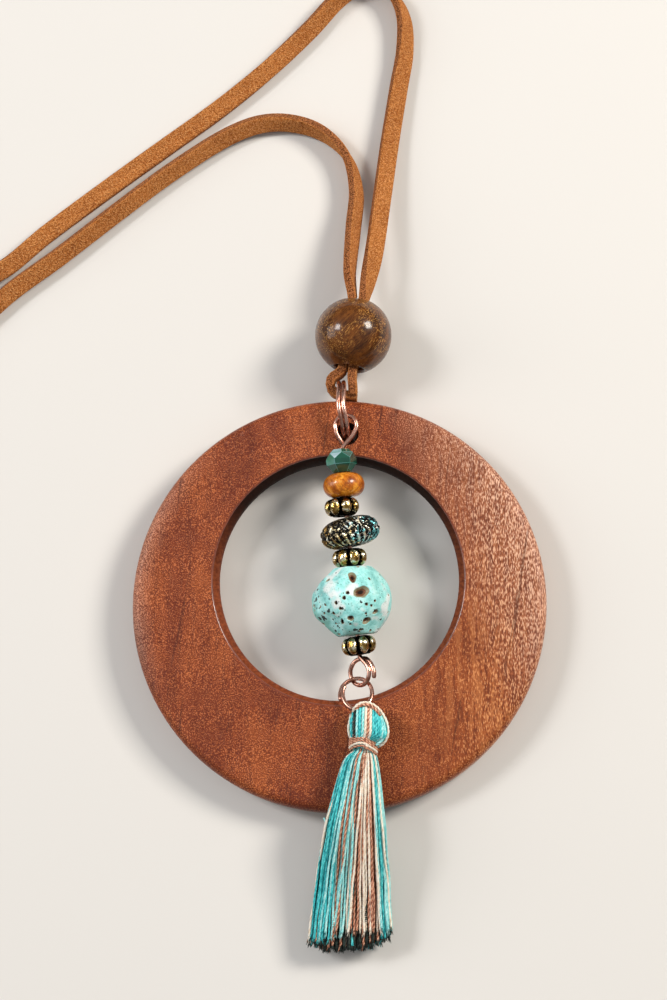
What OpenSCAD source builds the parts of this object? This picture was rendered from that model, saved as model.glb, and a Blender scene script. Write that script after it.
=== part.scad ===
// Boho tassel necklace: a suede lace loop, a slide bead and a drilled wooden ring
// whose opening holds a beaded eye pin with a thread tassel. Millimetres, lying on
// its back with the pendant's top toward +Y and the surface at z = 0.

/* [Wooden ring] */
// Outer diameter of the ring
ring_d = 65.4; // [60:0.1:72]
// Thickness of the ring
ring_t = 5; // [4.5:0.1:6]
// Diameter of the large opening
opening_d = 38; // [37:0.1:40]
// How far the opening sits above the ring's centre
opening_shift = 3.8; // [2:0.1:4.5]
// Rounding of the outer edge
rim_round = 1.5; // [0.8:0.1:2]
// Rounding of the opening's edge
opening_round = 0.9; // [0.4:0.1:1.2]
// Diameter of the drilled hanging hole
hole_d = 3.1; // [3:0.1:3.4]
// Distance from the ring's outer edge in to the centre of the hanging hole
hole_inset = 5.6; // [5.2:0.1:5.9]
// Sideways place of the hanging hole
hole_x = 1.5; // [0:0.1:2]

/* [Slide bead] */
// Diameter of the wooden slide bead
slide_d = 12.3; // [11.6:0.1:14]
// Bore of the slide bead, for two runs of lace
slide_bore = 4.7; // [4.6:0.1:5.2]
// Gap between the ring's edge and the slide bead
slide_gap = 4.35; // [4.2:0.05:6]
// Sideways place of the slide bead
slide_x = 2.5; // [2.4:0.05:2.6]
// Lean of the slide bead's bore to the right, in degrees
slide_lean = 8; // [7:0.5:9]

/* [Suede lace] */
// Width of the lace
lace_w = 3; // [2:0.1:3]
// Thickness of the lace
lace_t = 1.4; // [0.9:0.1:1.4]

/* [Hanging coil] */
// Radius of the double-turn hanging coil, to the middle of its wire
coil_r = 4.7; // [4.5:0.05:5]
// Wire of the hanging coil
coil_wire = 0.7; // [0.5:0.05:0.75]
// Turn of the coil about the vertical, in degrees
coil_turn = 3.5; // [0:0.5:5]

/* [Eye pin] */
// Wire of the eye pin
pin_wire = 0.75; // [0.6:0.05:0.85]
// Drift of the pin to the right, over one millimetre of its length
pin_drift = 0.085; // [0.07:0.005:0.095]
// Radius of the upper eye
upper_eye_r = 1.7; // [1.65:0.05:1.85]
// Radius of the lower eye
lower_eye_r = 2.05; // [1.9:0.05:2.2]
// Twist of the lower eye about the pin, in degrees
lower_eye_twist = 42; // [38:1:46]

/* [Beads on the pin] */
// Width of the faceted green bead
green_d = 4.75; // [4:0.05:4.9]
// Height of the faceted green bead
green_h = 3.7; // [3.2:0.1:3.8]
// Bore of the green bead
green_bore = 1.2; // [1.1:0.1:1.4]
// Width of the amber wood rondelle
amber_d = 6.55; // [5.5:0.05:7.5]
// Height of the amber wood rondelle
amber_h = 3.9; // [3.5:0.1:4.2]
// Width of the lobed brass spacers
spacer_d = 5.7; // [5.2:0.1:6.2]
// Height of the lobed brass spacers
spacer_h = 2.7; // [2.5:0.1:2.9]
// Number of lobes on a spacer
spacer_lobes = 7; // [7:1:9]
// Bore of the brass spacers
spacer_bore = 2; // [1.9:0.1:2.1]
// Wall round the bore at the ends of a spacer
spacer_wall = 0.2; // [0.15:0.05:0.4]
// Depth of the notches between a spacer's lobes
spacer_lobe = 0.8; // [0.5:0.1:0.9]
// Width of the fluted patina bead
patina_d = 10.3; // [9:0.1:11]
// Height of the fluted patina bead
patina_h = 4.3; // [4:0.1:4.6]
// Number of flutes on the patina bead
patina_flutes = 14; // [10:1:16]
// Lean of the patina bead on the pin, in degrees
patina_lean = 8; // [0:1:9]
// Bore of the patina bead
patina_bore = 2.4; // [2.3:0.1:2.8]
// Diameter of the lava bead
lava_d = 12.6; // [11.6:0.1:12.8]
// Length of the lava bead along the pin
lava_h = 10.7; // [10.4:0.1:11.2]
// Bore of the amber and lava beads
bead_bore = 2.1; // [2:0.1:2.4]

/* [Tassel] */
// Radius of the tassel's jump ring, to the middle of its wire
jump_r = 2.6; // [2.5:0.05:2.7]
// Wire of the tassel's jump ring
jump_wire = 0.75; // [0.6:0.05:0.8]
// Width of the tassel head
head_w = 6.6; // [6:0.1:7]
// Thickness of the tassel head
head_t = 5; // [4.6:0.1:5.4]
// Length of the tassel head above the binding
head_len = 5; // [4.6:0.1:5.4]
// Width of the neck under the binding
neck_w = 3.4; // [3:0.1:3.6]
// Thickness of the binding thread
binding_thread = 0.6; // [0.4:0.05:0.7]
// Length of the skirt from the binding to the hem
skirt_len = 29.75; // [27:0.25:33]
// Width of the skirt at the hem
hem_w = 14; // [11:0.1:16]
// Thickness of the skirt at the hem
hem_t = 4.6; // [4:0.1:5]

/* [Hidden] */

// Clearances
seat_gap = 0.12;
hole_gap = 0.25;
curve_fn = 64;
hull_fn = 24;

// The ring lies on its lower rim, and the coil under its top lifts it a little.
hole_y = ring_d / 2 - hole_inset;
coil_pitch = coil_wire + 0.06;
coil_slack = sqrt(pow(hole_d / 2 - coil_wire / 2 - hole_gap / 2, 2) - pow(coil_pitch, 2));
coil_z = sqrt(4 * coil_r * coil_slack - 4 * pow(coil_slack, 2));
coil_y = hole_y - coil_slack + coil_r;
ring_tilt = asin((coil_r + coil_wire / 2 + seat_gap / 2 - coil_z)
    / (ring_d / 2 - rim_round + coil_y));
ring_foot = (ring_d / 2 - rim_round) * sin(ring_tilt) + rim_round * (1 - cos(ring_tilt));
function ring_face_z(y) = ring_foot + ring_t * cos(ring_tilt) + y * tan(ring_tilt);

// Stations of the beads are counted down the pin from the middle of the green bead.
flute = 0.45;
patina_dome = 2.6;
patina_end_r = patina_d / 2 - patina_dome + patina_dome * cos(80);
patina_reach = patina_h / 2 + patina_end_r * sin(patina_lean);
spacer_lean = 4;
leaning_reach = spacer_h / 2 + spacer_d / 2 * sin(spacer_lean);
amber_at = green_h / 2 + seat_gap + amber_h / 2;
spacer_1_at = amber_at + amber_h / 2 + seat_gap + spacer_h / 2;
patina_at = spacer_1_at + spacer_h / 2 + seat_gap + patina_reach;
spacer_2_at = patina_at + patina_reach + seat_gap + spacer_h / 2;
lava_at = spacer_2_at + spacer_h / 2 + seat_gap + lava_h / 2;
spacer_3_at = lava_at + lava_h / 2 + seat_gap + leaning_reach;
lower_eye_at = spacer_3_at + leaning_reach + pin_wire / 2 + seat_gap + lower_eye_r;

// The green bead leans on the opening's edge and the lava bead on the surface. A pin
// that reaches past the opening's lower edge lies over it, with room for the jump ring.
green_inset = 0.7;
green_sink = 0.25;
edge_margin = 1.2;
lower_edge = opening_shift - opening_d / 2;
pin_x = 0.75;
pin_y = opening_shift + opening_d / 2 - green_inset;
pin_z = ring_face_z(pin_y) + green_d / 2 - green_sink;
pin_reach = lower_eye_at + lower_eye_r + pin_wire / 2;
lava_fall = (pin_z - lava_d / 2 - seat_gap) / lava_at;
edge_fall = (pin_z - ring_face_z(lower_edge) - pin_wire / 2 - jump_wire - 2 * hole_gap) / pin_reach;
pin_fall = pin_y - pin_reach < lower_edge + edge_margin ? min(lava_fall, edge_fall) : lava_fall;
pin_down = [pin_drift, -sqrt(1 - pow(pin_drift, 2) - pow(pin_fall, 2)), -pin_fall];
pin_polar = acos(-pin_down[2]);
pin_azimuth = atan2(-pin_down[1], -pin_down[0]);
function pin_point(at) = [pin_x, pin_y, pin_z] + pin_down * at;
upper_eye_off = [-0.2, 0.6];
upper_eye_at = pin_y - hole_y - upper_eye_off[1];
upper_eye_side = hole_x - pin_point(upper_eye_at)[0] + upper_eye_off[0];
upper_eye_drop = 0.15;
lower_eye_side = -0.5;

// The tassel's jump ring hangs in the lower eye and leans up onto the ring's face.
jump_lift = 1.3;
eye_foot = pin_point(lower_eye_at + lower_eye_r);
jump_head = eye_foot + [-0.75, 1.05, -0.5];
jump_pitch = asin((ring_face_z(jump_head[1] - 2 * jump_r) + jump_lift - jump_head[2]) / (2 * jump_r));
jump_centre = jump_head + jump_r * [0, -cos(jump_pitch), sin(jump_pitch)];
jump_foot = jump_centre + jump_r * [0, -cos(jump_pitch), sin(jump_pitch)];

// The tassel's head loops round the jump ring, and the skirt falls off the ring's edge.
head_off = [1.75, 0.55, 0];
neck_off = [-0.75, -1.1, 0];
rim_clearance = 0.5;
head_top = jump_foot + head_off;
neck_at = head_top + neck_off - [0, head_len, 0];
neck_z = ring_face_z(neck_at[1]) + neck_w / 2 + binding_thread + 1.5 * seat_gap;
wraps = 4;
binding_h = wraps * binding_thread;
skirt_top = neck_at[1] - binding_h / 2;
rim_share = (skirt_top + ring_d / 2 + rim_clearance) / skirt_len;

// The assembly is centred between the slide bead's top and the tassel's hem.
slide_y = ring_d / 2 + slide_gap + slide_d / 2;
middle_y = (slide_y + slide_d / 2 + skirt_top - skirt_len) / 2;

// Route of the lace's middle line: x, y, z and the roll of its flat side, in degrees.
// A roll of 0 has the flat side up, 90 stands the lace on its edge.
lace_route = [
    [3, 35.3, 5.1, 90], [1.7, 35.4, 5.1, 90], [0.2, 35.6, 5.1, 90], [-1.1, 36.6, 5.2, 90],
    [-1, 38.1, 5.6, 90], [0.6, 39.3, 6, 90], [1, 41, 6.2, 90], [1.7, 45.4, 6.2, 90],
    [2.4, 50.6, 6.2, 90], [1.9, 56, 5.6, 75], [2.4, 64, 3.8, 62], [2.8, 71, 2.3, 64],
    [1, 77.4, 1.8, 84], [-4, 81.8, 1.7, 110], [-11, 83.2, 1.8, 126], [-18, 81.2, 1.8, 130],
    [-27.5, 75.2, 1.8, 130], [-36.5, 68.4, 1.8, 132], [-46, 60.9, 1.8, 140], [-56, 53.3, 1.6, 152],
    [-64, 44, 1.2, 168], [-68.5, 26, 0.8, 180], [-70, 7, 0.8, 180], [-73, -12, 0.8, 180],
    [-79, -30, 0.8, 180], [-91, -44, 0.8, 180], [-108, -50, 0.8, 180], [-125, -45, 0.8, 180],
    [-138, -31, 0.8, 180], [-145, -13, 0.8, 180], [-149, 6, 0.8, 180], [-150, 25, 0.8, 180],
    [-149, 44, 0.8, 180], [-145, 63, 0.8, 180], [-137, 80, 0.8, 180], [-124, 95, 0.8, 180],
    [-107, 102, 0.9, 184], [-90, 97, 1.2, 196], [-78, 83, 1.5, 212], [-71, 68, 1.8, 232],
    [-68, 60.5, 1.8, 238], [-63, 56.4, 1.8, 228], [-56, 58.6, 1.5, 208], [-48.5, 64.9, 1.2, 196],
    [-39, 72.2, 1, 190], [-29.5, 79.2, 1, 190], [-20, 86.1, 1.1, 192], [-12, 92.7, 1.3, 200],
    [-5, 99.4, 1.6, 218], [-0.1, 104.7, 1.8, 240], [4.2, 107, 1.8, 262], [8.7, 105.3, 1.8, 282],
    [10.8, 101, 1.8, 300], [10.9, 95, 1.8, 316], [9.9, 89, 1.7, 328], [8.4, 79.5, 1.9, 335],
    [7.1, 69.5, 3, 334], [5.9, 60, 4.7, 326], [4.9, 54.6, 5.7, 300], [4.1, 50.6, 6.2, 272],
    [3.3, 45.2, 6.2, 270], [2.5, 39.8, 6.2, 270], [2.3, 38, 6.1, 270]
];

// Sections of the skirt: share of its length, width and thickness as shares of the
// hem's, and the place of its middle as shares of the way from neck to hem.
skirt_share = 0;
skirt_width = 1;
skirt_thick = 2;
skirt_drift = 3;
skirt_sections = [
    [0.00, 0.24, 0.70, 0.00],
    [0.07, 0.42, 0.96, 0.22],
    [rim_share, 0.66, 1.05, 0.50],
    [0.66, 0.86, 1.04, 0.78],
    [1.00, 1.00, 1.00, 1.00]
];

// Moves what is drawn from the ring's centre to the centred frame.
module centred() {
    translate([0, -middle_y, 0]) children();
}

// Lays what is drawn along the pin: up the pin is +Z, the pin's right is +X.
module on_pin(at, side = 0, lean = 0) {
    translate(pin_point(at))
        rotate([0, pin_polar, pin_azimuth])
            rotate([0, 0, -90])
                translate([side, 0, 0])
                    rotate([0, -lean, 0])
                        children();
}

// One point on the smooth curve through four points, at share t of the middle span.
function curve_point(a, b, c, d, t) = 0.5 * (2 * b + (c - a) * t
    + (2 * a - 5 * b + 4 * c - d) * t * t + (3 * b - a - 3 * c + d) * t * t * t);

// The route's own points, with one more on each long span.
function fill_route(route, long_span) = let (last = len(route) - 1) [
    for (i = [0 : last - 1])
        let (
            a = route[max(i - 1, 0)],
            b = route[i],
            c = route[i + 1],
            d = route[min(i + 2, last)],
            span = norm([for (k = [0 : 2]) c[k] - b[k]]),
            steps = span > long_span ? 2 : 1
        )
        for (k = [0 : steps - 1]) curve_point(a, b, c, d, k / steps),
    route[last]
];

// Rings of a flat cord along a filled route, with its corners cut by corner.
function cord_rings(route, width, thickness, corner) = let (
    last = len(route) - 1,
    w = width / 2,
    t = thickness / 2,
    outline = [[w, t - corner], [w - corner, t], [corner - w, t], [-w, t - corner],
        [-w, corner - t], [corner - w, -t], [w - corner, -t], [w, corner - t]]
) [
    for (i = [0 : last])
        let (
            here = [for (k = [0 : 2]) route[i][k]],
            ahead = route[min(i + 1, last)],
            behind = route[max(i - 1, 0)],
            along = [for (k = [0 : 2]) ahead[k] - behind[k]],
            way = along / norm(along),
            left = cross([0, 0, 1], way) / norm(cross([0, 0, 1], way)),
            up = cross(way, left),
            roll = route[i][3],
            across = left * cos(roll) + up * sin(roll),
            face = up * cos(roll) - left * sin(roll)
        )
        [for (p = outline) here + across * p[0] + face * p[1]]
];

// Rings of a round wire along a path of points, turned about a side that stays put.
function wire_rings(path, radius, sides, side) = let (last = len(path) - 1) [
    for (i = [0 : last])
        let (
            along = path[min(i + 1, last)] - path[max(i - 1, 0)],
            up = cross(along, side) / norm(cross(along, side)),
            across = cross(up, along) / norm(cross(up, along))
        )
        [for (k = [0 : sides - 1])
            path[i] + radius * (across * cos(360 * k / sides) - up * sin(360 * k / sides))]
];

// A closed solid through rings that have the same number of points.
module ring_solid(rings) {
    n = len(rings[0]);
    last = len(rings) - 1;
    polyhedron(
        points = [for (ring = rings) each ring],
        faces = [
            [for (k = [0 : n - 1]) k],
            for (i = [0 : last - 1], k = [0 : n - 1]) each [
                [i * n + k, (i + 1) * n + k, i * n + (k + 1) % n],
                [i * n + (k + 1) % n, (i + 1) * n + k, (i + 1) * n + (k + 1) % n]
            ],
            [for (k = [n - 1 : -1 : 0]) last * n + k]
        ]
    );
}

// Suede lace: one flat strip, from its cut end by the coil round to the slide bead.
module neck_lace() {
    long_span = 13;
    color("peru")
        ring_solid(cord_rings(fill_route(lace_route, long_span), lace_w, lace_t, lace_t / 5));
}

// Round wooden bead that both runs of the lace pass through.
module slide_bead() {
    mouth = 0.4;
    color("saddlebrown")
        centred()
            translate([slide_x, slide_y, slide_d / 2])
                rotate([-90, 0, -slide_lean])
                    difference() {
                        sphere(d = slide_d, $fn = curve_fn);
                        cylinder(d = slide_bore, h = slide_d + 2, center = true, $fn = curve_fn);
                        for (end = [-1, 1])
                            translate([0, 0, end * (slide_d / 2 - 0.5)])
                                cylinder(d1 = slide_bore - end * 2 * mouth,
                                    d2 = slide_bore + end * 2 * mouth,
                                    h = 2 * mouth, center = true, $fn = curve_fn);
                    }
}

// Places what is drawn in the ring's own frame: its centre at the back face.
module on_ring() {
    translate([0, 0, ring_foot]) rotate([ring_tilt, 0, 0]) children();
}

// Section of the ring's blank, with rounded outer corners.
module blank_section() {
    r = ring_d / 2;
    square([r - rim_round, ring_t]);
    translate([0, rim_round]) square([r, ring_t - 2 * rim_round]);
    for (z = [rim_round, ring_t - rim_round])
        translate([r - rim_round, z]) circle(r = rim_round, $fn = curve_fn);
}

// Section of what is cut out of the ring, flared to round the opening's edges.
module opening_section() {
    r = opening_d / 2;
    translate([0, -1]) square([r, ring_t + 2]);
    difference() {
        translate([0, -1]) square([r + opening_round, ring_t + 2]);
        translate([r, opening_round]) square([opening_round + 1, ring_t - 2 * opening_round]);
        for (z = [opening_round, ring_t - opening_round])
            translate([r + opening_round, z]) circle(r = opening_round, $fn = curve_fn);
    }
}

// Wooden ring with its off-centre opening and the drilled hanging hole.
module pendant_ring() {
    color("sienna")
        centred()
            on_ring()
                difference() {
                    rotate_extrude($fn = curve_fn) blank_section();
                    translate([0, opening_shift, 0])
                        rotate_extrude($fn = curve_fn) opening_section();
                    translate([hole_x, hole_y, -1])
                        cylinder(d = hole_d, h = ring_t + 2, $fn = curve_fn);
                }
}

// Double-turn coil through the hanging hole, the upper eye and the lace.
module hanging_coil() {
    turns = 2;
    steps = 16;
    path = [for (i = [0 : turns * steps])
        let (a = 360 * i / steps - 90)
        [coil_pitch * (i / steps - turns / 2 - 0.25), coil_r * cos(a), coil_r * sin(a)]];
    color("rosybrown")
        centred()
            on_ring()
                translate([hole_x - coil_r * sin(coil_turn), coil_y, coil_z])
                    rotate([0, 0, coil_turn])
                        ring_solid(wire_rings(path, coil_wire / 2, 6, [1, 0, 0]));
}

// Points round an eye, from one angle to another, measured from up and to the right.
function eye_arc(middle, radius, from, to, steps) = [
    for (i = [0 : steps])
        let (a = from + (to - from) * i / steps)
        middle + radius * [sin(a), 0, cos(a)]
];

// Bends points toward the surface, past the start of an eye.
function dropped(points, drop, start) = [
    for (p = points) [p[0], p[1] + drop * (p[2] - start), p[2]]
];

// Turns points about the pin's axis.
function twisted(points, angle) = [
    for (p = points) [p[0] * cos(angle), -p[0] * sin(angle), p[2]]
];

// Headed wire with an eye at each end, drawn in the pin's own frame.
module eye_pin() {
    upper = eye_arc([upper_eye_side, 0, -upper_eye_at], upper_eye_r, 145, -110, 12);
    lower = eye_arc([lower_eye_side, 0, -lower_eye_at], lower_eye_r, -20, -320, 14);
    path = concat(
        twisted([for (i = [14 : -1 : 0]) lower[i]], lower_eye_twist),
        [[0, 0, lower_eye_r + pin_wire - lower_eye_at], [0, 0, green_h / 2 + 0.3]],
        dropped(concat(upper, [[-0.3, 0, -upper_eye_at - 1.15 * upper_eye_r]]), upper_eye_drop, green_h / 2)
    );
    color("rosybrown")
        centred()
            on_pin(0) ring_solid(wire_rings(path, pin_wire / 2, 6, [0, 1, 0.001]));
}

// Points of a ring of a bead, whose radius swells by flute at each of its lobes.
function bead_ring(radius, z, sides, turn = 0, lobes = 0, flute = 0) = [
    for (k = [0 : sides - 1])
        let (
            a = -360 * (k + turn) / sides,
            swell = lobes == 0 ? 0 : flute * abs(sin(a * lobes / 2))
        )
        [(radius + swell) * cos(a), (radius + swell) * sin(a), z]
];

// Faceted glass rondelle.
module green_bead() {
    sides = 8;
    table_r = green_d * 0.28;
    girdle = green_h * 0.14;
    color("darkslategray")
        centred()
            on_pin(0)
                difference() {
                    ring_solid([
                        bead_ring(table_r, -green_h / 2, sides),
                        bead_ring(green_d / 2, -girdle, sides, 0.5),
                        bead_ring(green_d / 2, girdle, sides, 0),
                        bead_ring(table_r, green_h / 2, sides, 0.5)
                    ]);
                    cylinder(d = green_bore, h = green_h + 2, center = true, $fn = hull_fn);
                }
}

// Polished wooden rondelle.
module amber_bead() {
    edge = amber_h / 2;
    color("darkgoldenrod")
        centred()
            on_pin(amber_at)
                rotate_extrude($fn = curve_fn)
                    difference() {
                        union() {
                            translate([0, -edge]) square([amber_d / 2 - edge, amber_h]);
                            translate([amber_d / 2 - edge, 0]) circle(r = edge, $fn = curve_fn);
                        }
                        translate([-amber_d, -amber_h])
                            square([amber_d + bead_bore / 2, 2 * amber_h]);
                    }
}

// Brass spacer: a bored hub that swells to lobes all round it.
module spacer() {
    hub_r = spacer_bore / 2 + spacer_wall;
    swell = spacer_d / 2 - spacer_lobe - hub_r;
    difference() {
        ring_solid([for (a = [-80 : 20 : 80])
            bead_ring(hub_r + swell * cos(a), spacer_h / 2 * sin(a) / sin(80),
                8 * spacer_lobes, 0, spacer_lobes, spacer_lobe * cos(a))]);
        cylinder(d = spacer_bore, h = spacer_h + 2, center = true, $fn = curve_fn);
    }
}

module spacer_1() {
    color("darkkhaki") centred() on_pin(spacer_1_at, -0.5) spacer();
}

module spacer_2() {
    color("darkkhaki") centred() on_pin(spacer_2_at, -0.2) rotate([0, 0, 20]) spacer();
}

module spacer_3() {
    color("darkkhaki") centred() on_pin(spacer_3_at, 0.1, spacer_lean) rotate([0, 0, 8]) spacer();
}

// Fluted bead with a dark patina, leaning a little on the pin.
module patina_bead() {
    sides = 4 * patina_flutes;
    hub_r = patina_d / 2 - flute - patina_dome;
    sections = [for (a = [-80 : 20 : 80])
        [hub_r + patina_dome * cos(a), patina_h / 2 * sin(a) / sin(80)]];
    color("darkslategray")
        centred()
            on_pin(patina_at, 0.3, patina_lean)
                difference() {
                    ring_solid([for (s = sections)
                        bead_ring(s[0], s[1], sides, 0, patina_flutes, flute)]);
                    cylinder(d = patina_bore, h = patina_h + 2, center = true, $fn = curve_fn);
                }
}

// Flats of the lava bead: turn from the front to the right, height angle and depth.
lava_flats = [[-62, 8, 0.5], [-35, 48, 0.4], [58, 20, 0.45], [48, -38, 0.4], [-48, -36, 0.55],
    [0, 14, 0.3], [-90, -44, 0.6], [-90, 46, 0.8], [120, 10, 0.4], [-130, -12, 0.4], [170, 30, 0.35]];
// Pits of the lava bead: turn from the front to the right, height angle, radius, depth.
lava_pits = [[16, 17, 1.3, 0.7], [3, 42, 0.9, 0.6], [25, -28, 0.8, 0.5], [38, -15, 0.65, 0.4],
    [-4, -22, 0.5, 0.4], [-38, 38, 0.5, 0.35], [110, 25, 1.1, 0.6], [-110, 5, 1, 0.6],
    [175, -20, 1.2, 0.6]];

// Dyed lava bead, worn to flats and pitted.
module lava_bead() {
    color("aquamarine")
        centred()
            on_pin(lava_at, -0.45)
                difference() {
                    sphere(d = lava_d, $fn = curve_fn);
                    for (end = [-1, 1])
                        translate([0, 0, end * (lava_h / 2 + lava_d / 2)])
                            cube([lava_d, lava_d, lava_d], center = true);
                    for (flat = lava_flats)
                        rotate([0, 0, flat[0]])
                            rotate([-flat[1], 0, 0])
                                translate([0, flat[2] - lava_d, 0])
                                    cube([lava_d, lava_d, lava_d], center = true);
                    for (pit = lava_pits)
                        rotate([0, 0, pit[0]])
                            rotate([-pit[1], 0, 0])
                                translate([0, pit[3] - lava_d / 2 - pit[2], 0])
                                    sphere(r = pit[2], $fn = hull_fn);
                    cylinder(d = bead_bore, h = lava_d, center = true, $fn = curve_fn);
                }
}

// Round wire ring with room left round it, for cutting its way through the tassel.
module jump_loop(wire, facets) {
    translate(jump_centre)
        rotate([-jump_pitch, 0, 0])
            rotate_extrude($fn = 3 * facets)
                translate([jump_r, 0]) circle(d = wire, $fn = facets);
}

// Jump ring between the lower eye and the tassel.
module tassel_jump_ring() {
    color("rosybrown") centred() jump_loop(jump_wire, 20);
}

// Middle of the skirt at a share of the way from neck to hem.
function skirt_middle(share, drift, thick) = let (
    y = skirt_top - share * skirt_len,
    on_ring = ring_face_z(y) + thick / 2 + seat_gap,
    past_rim = max(0, share - rim_share) / (1 - rim_share),
    floor_z = thick / 2 + seat_gap
) [neck_at[0] - 2.4 * drift, y, on_ring + (floor_z - on_ring) * pow(past_rim, 0.8)];

// One lock of the skirt, set round its oval by angle.
module skirt_lock(angle, size, trim) {
    for (i = [0 : len(skirt_sections) - 2])
        hull()
            for (s = [skirt_sections[i], skirt_sections[i + 1]]) {
                w = s[skirt_width] * hem_w;
                t = s[skirt_thick] * hem_t;
                r = size * min(w, t) / 2;
                share = s[skirt_share] == 1 ? 1 - trim : s[skirt_share];
                translate(skirt_middle(share, s[skirt_drift], t)
                    + [(w / 2 - r) * cos(angle), 0, (t / 2 - r) * sin(angle)])
                    rotate([90, 0, 0]) cylinder(r = r, h = 0.1, center = true, $fn = 6);
            }
}

// Thread tassel: looped head, tied neck and a skirt of locks.
module tassel() {
    locks = 12;
    head_z = ring_face_z(head_top[1]) + head_t / 2 + seat_gap;
    color("mediumturquoise")
        centred()
            difference() {
                union() {
                    hull() {
                        translate([head_top[0], head_top[1] - head_t * 0.3, head_z + 0.2])
                            scale([head_w * 0.74, head_t * 0.6, head_t * 0.9] / 2) sphere(1, $fn = 16);
                        translate([head_top[0], head_top[1] - head_len * 0.5, head_z])
                            scale([head_w, head_t * 0.9, head_t] / 2) sphere(1, $fn = 16);
                        neck_stretch(0.62, 0.55);
                    }
                    neck_stretch(0.6, -0.6);
                    for (k = [0 : locks - 1])
                        skirt_lock(360 * (k + 0.5) / locks, 0.42, 0.012 * (k % 3));
                    skirt_lock(0, 0.5, 0.03);
                    skirt_lock(180, 0.5, 0.03);
                }
                jump_loop(jump_wire + 2 * hole_gap, 10);
            }
}

// Stretch of the neck, from and to a share of the binding's height off its middle.
module neck_stretch(from, to) {
    translate([neck_at[0], neck_at[1] + binding_h * from, neck_z])
        rotate([90, 0, 0]) cylinder(d = neck_w, h = binding_h * (from - to), $fn = 16);
}

// Thread wound round the tassel's neck.
module tassel_binding() {
    color("burlywood")
        centred()
            translate([neck_at[0], neck_at[1], neck_z])
                rotate([90, 0, 0])
                    rotate_extrude($fn = curve_fn)
                        for (k = [0 : wraps - 1])
                            translate([neck_w / 2 + seat_gap / 2 + binding_thread / 2,
                                (k - (wraps - 1) / 2) * binding_thread * 0.92])
                                circle(d = binding_thread, $fn = hull_fn);
}

neck_lace();
slide_bead();
pendant_ring();
hanging_coil();
eye_pin();
green_bead();
amber_bead();
spacer_1();
spacer_2();
spacer_3();
patina_bead();
lava_bead();
tassel_jump_ring();
tassel();
tassel_binding();
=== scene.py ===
"""Tassel necklace: the looks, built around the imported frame. Lengths in the tables are millimetres."""
import random
from math import acos, asin, atan2, cos, degrees, exp, hypot, pi, radians, sin, sqrt

import bmesh
import bpy
import numpy as np
from mathutils import Matrix, Vector, noise


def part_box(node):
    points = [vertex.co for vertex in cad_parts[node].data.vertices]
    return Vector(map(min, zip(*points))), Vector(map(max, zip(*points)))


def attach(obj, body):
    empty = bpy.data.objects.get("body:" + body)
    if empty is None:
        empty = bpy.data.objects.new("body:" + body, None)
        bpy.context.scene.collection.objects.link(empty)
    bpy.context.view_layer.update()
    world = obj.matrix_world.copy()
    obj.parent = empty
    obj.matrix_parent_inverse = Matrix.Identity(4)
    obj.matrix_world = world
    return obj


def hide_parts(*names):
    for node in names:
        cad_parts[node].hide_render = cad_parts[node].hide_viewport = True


MM = 0.001
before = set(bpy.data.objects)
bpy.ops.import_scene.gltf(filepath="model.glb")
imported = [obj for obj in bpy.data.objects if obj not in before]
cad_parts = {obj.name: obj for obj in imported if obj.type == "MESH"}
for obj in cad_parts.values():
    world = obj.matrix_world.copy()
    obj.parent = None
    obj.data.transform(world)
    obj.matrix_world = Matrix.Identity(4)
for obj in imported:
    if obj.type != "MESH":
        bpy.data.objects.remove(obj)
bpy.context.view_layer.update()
scene = bpy.context.scene


# The camera, at the photograph's angle.
LENS = 85
SENSOR = 36
CAMERA_DISTANCE = 0.377
CAMERA_SIDE = radians(3.6)
CAMERA_HEIGHT = radians(78.5)
AIM_FROM_RING = Vector((-0.87, 16.96, -0.02)) * MM


def box_middle(node):
    """The middle of a CAD node's box."""
    low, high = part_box(node)
    return (low + high) / 2


def make_camera():
    """A long lens above the pendant, level with the picture's sides."""
    back = Vector((sin(CAMERA_SIDE), -cos(CAMERA_HEIGHT), sin(CAMERA_HEIGHT))).normalized()
    right = Vector((0, 1, 0)).cross(back).normalized()
    data = bpy.data.cameras.new("camera")
    data.lens = LENS
    data.sensor_width = SENSOR
    data.clip_start = 0.01
    data.clip_end = 10
    camera = bpy.data.objects.new("camera", data)
    scene.collection.objects.link(camera)
    turn = Matrix((right, back.cross(right), back)).transposed().to_4x4()
    place = box_middle("pendant_ring") + AIM_FROM_RING + back * CAMERA_DISTANCE
    camera.matrix_world = Matrix.Translation(place) @ turn
    scene.camera = camera


make_camera()


# Helpers for materials. Sizes of features are in millimetres.
def rgb(r, g, b):
    """A colour given as sRGB, 0 to 255, made linear."""
    linear = [c / 255 / 12.92 if c < 11 else ((c / 255 + 0.055) / 1.055) ** 2.4 for c in (r, g, b)]
    return (*linear, 1)


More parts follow.
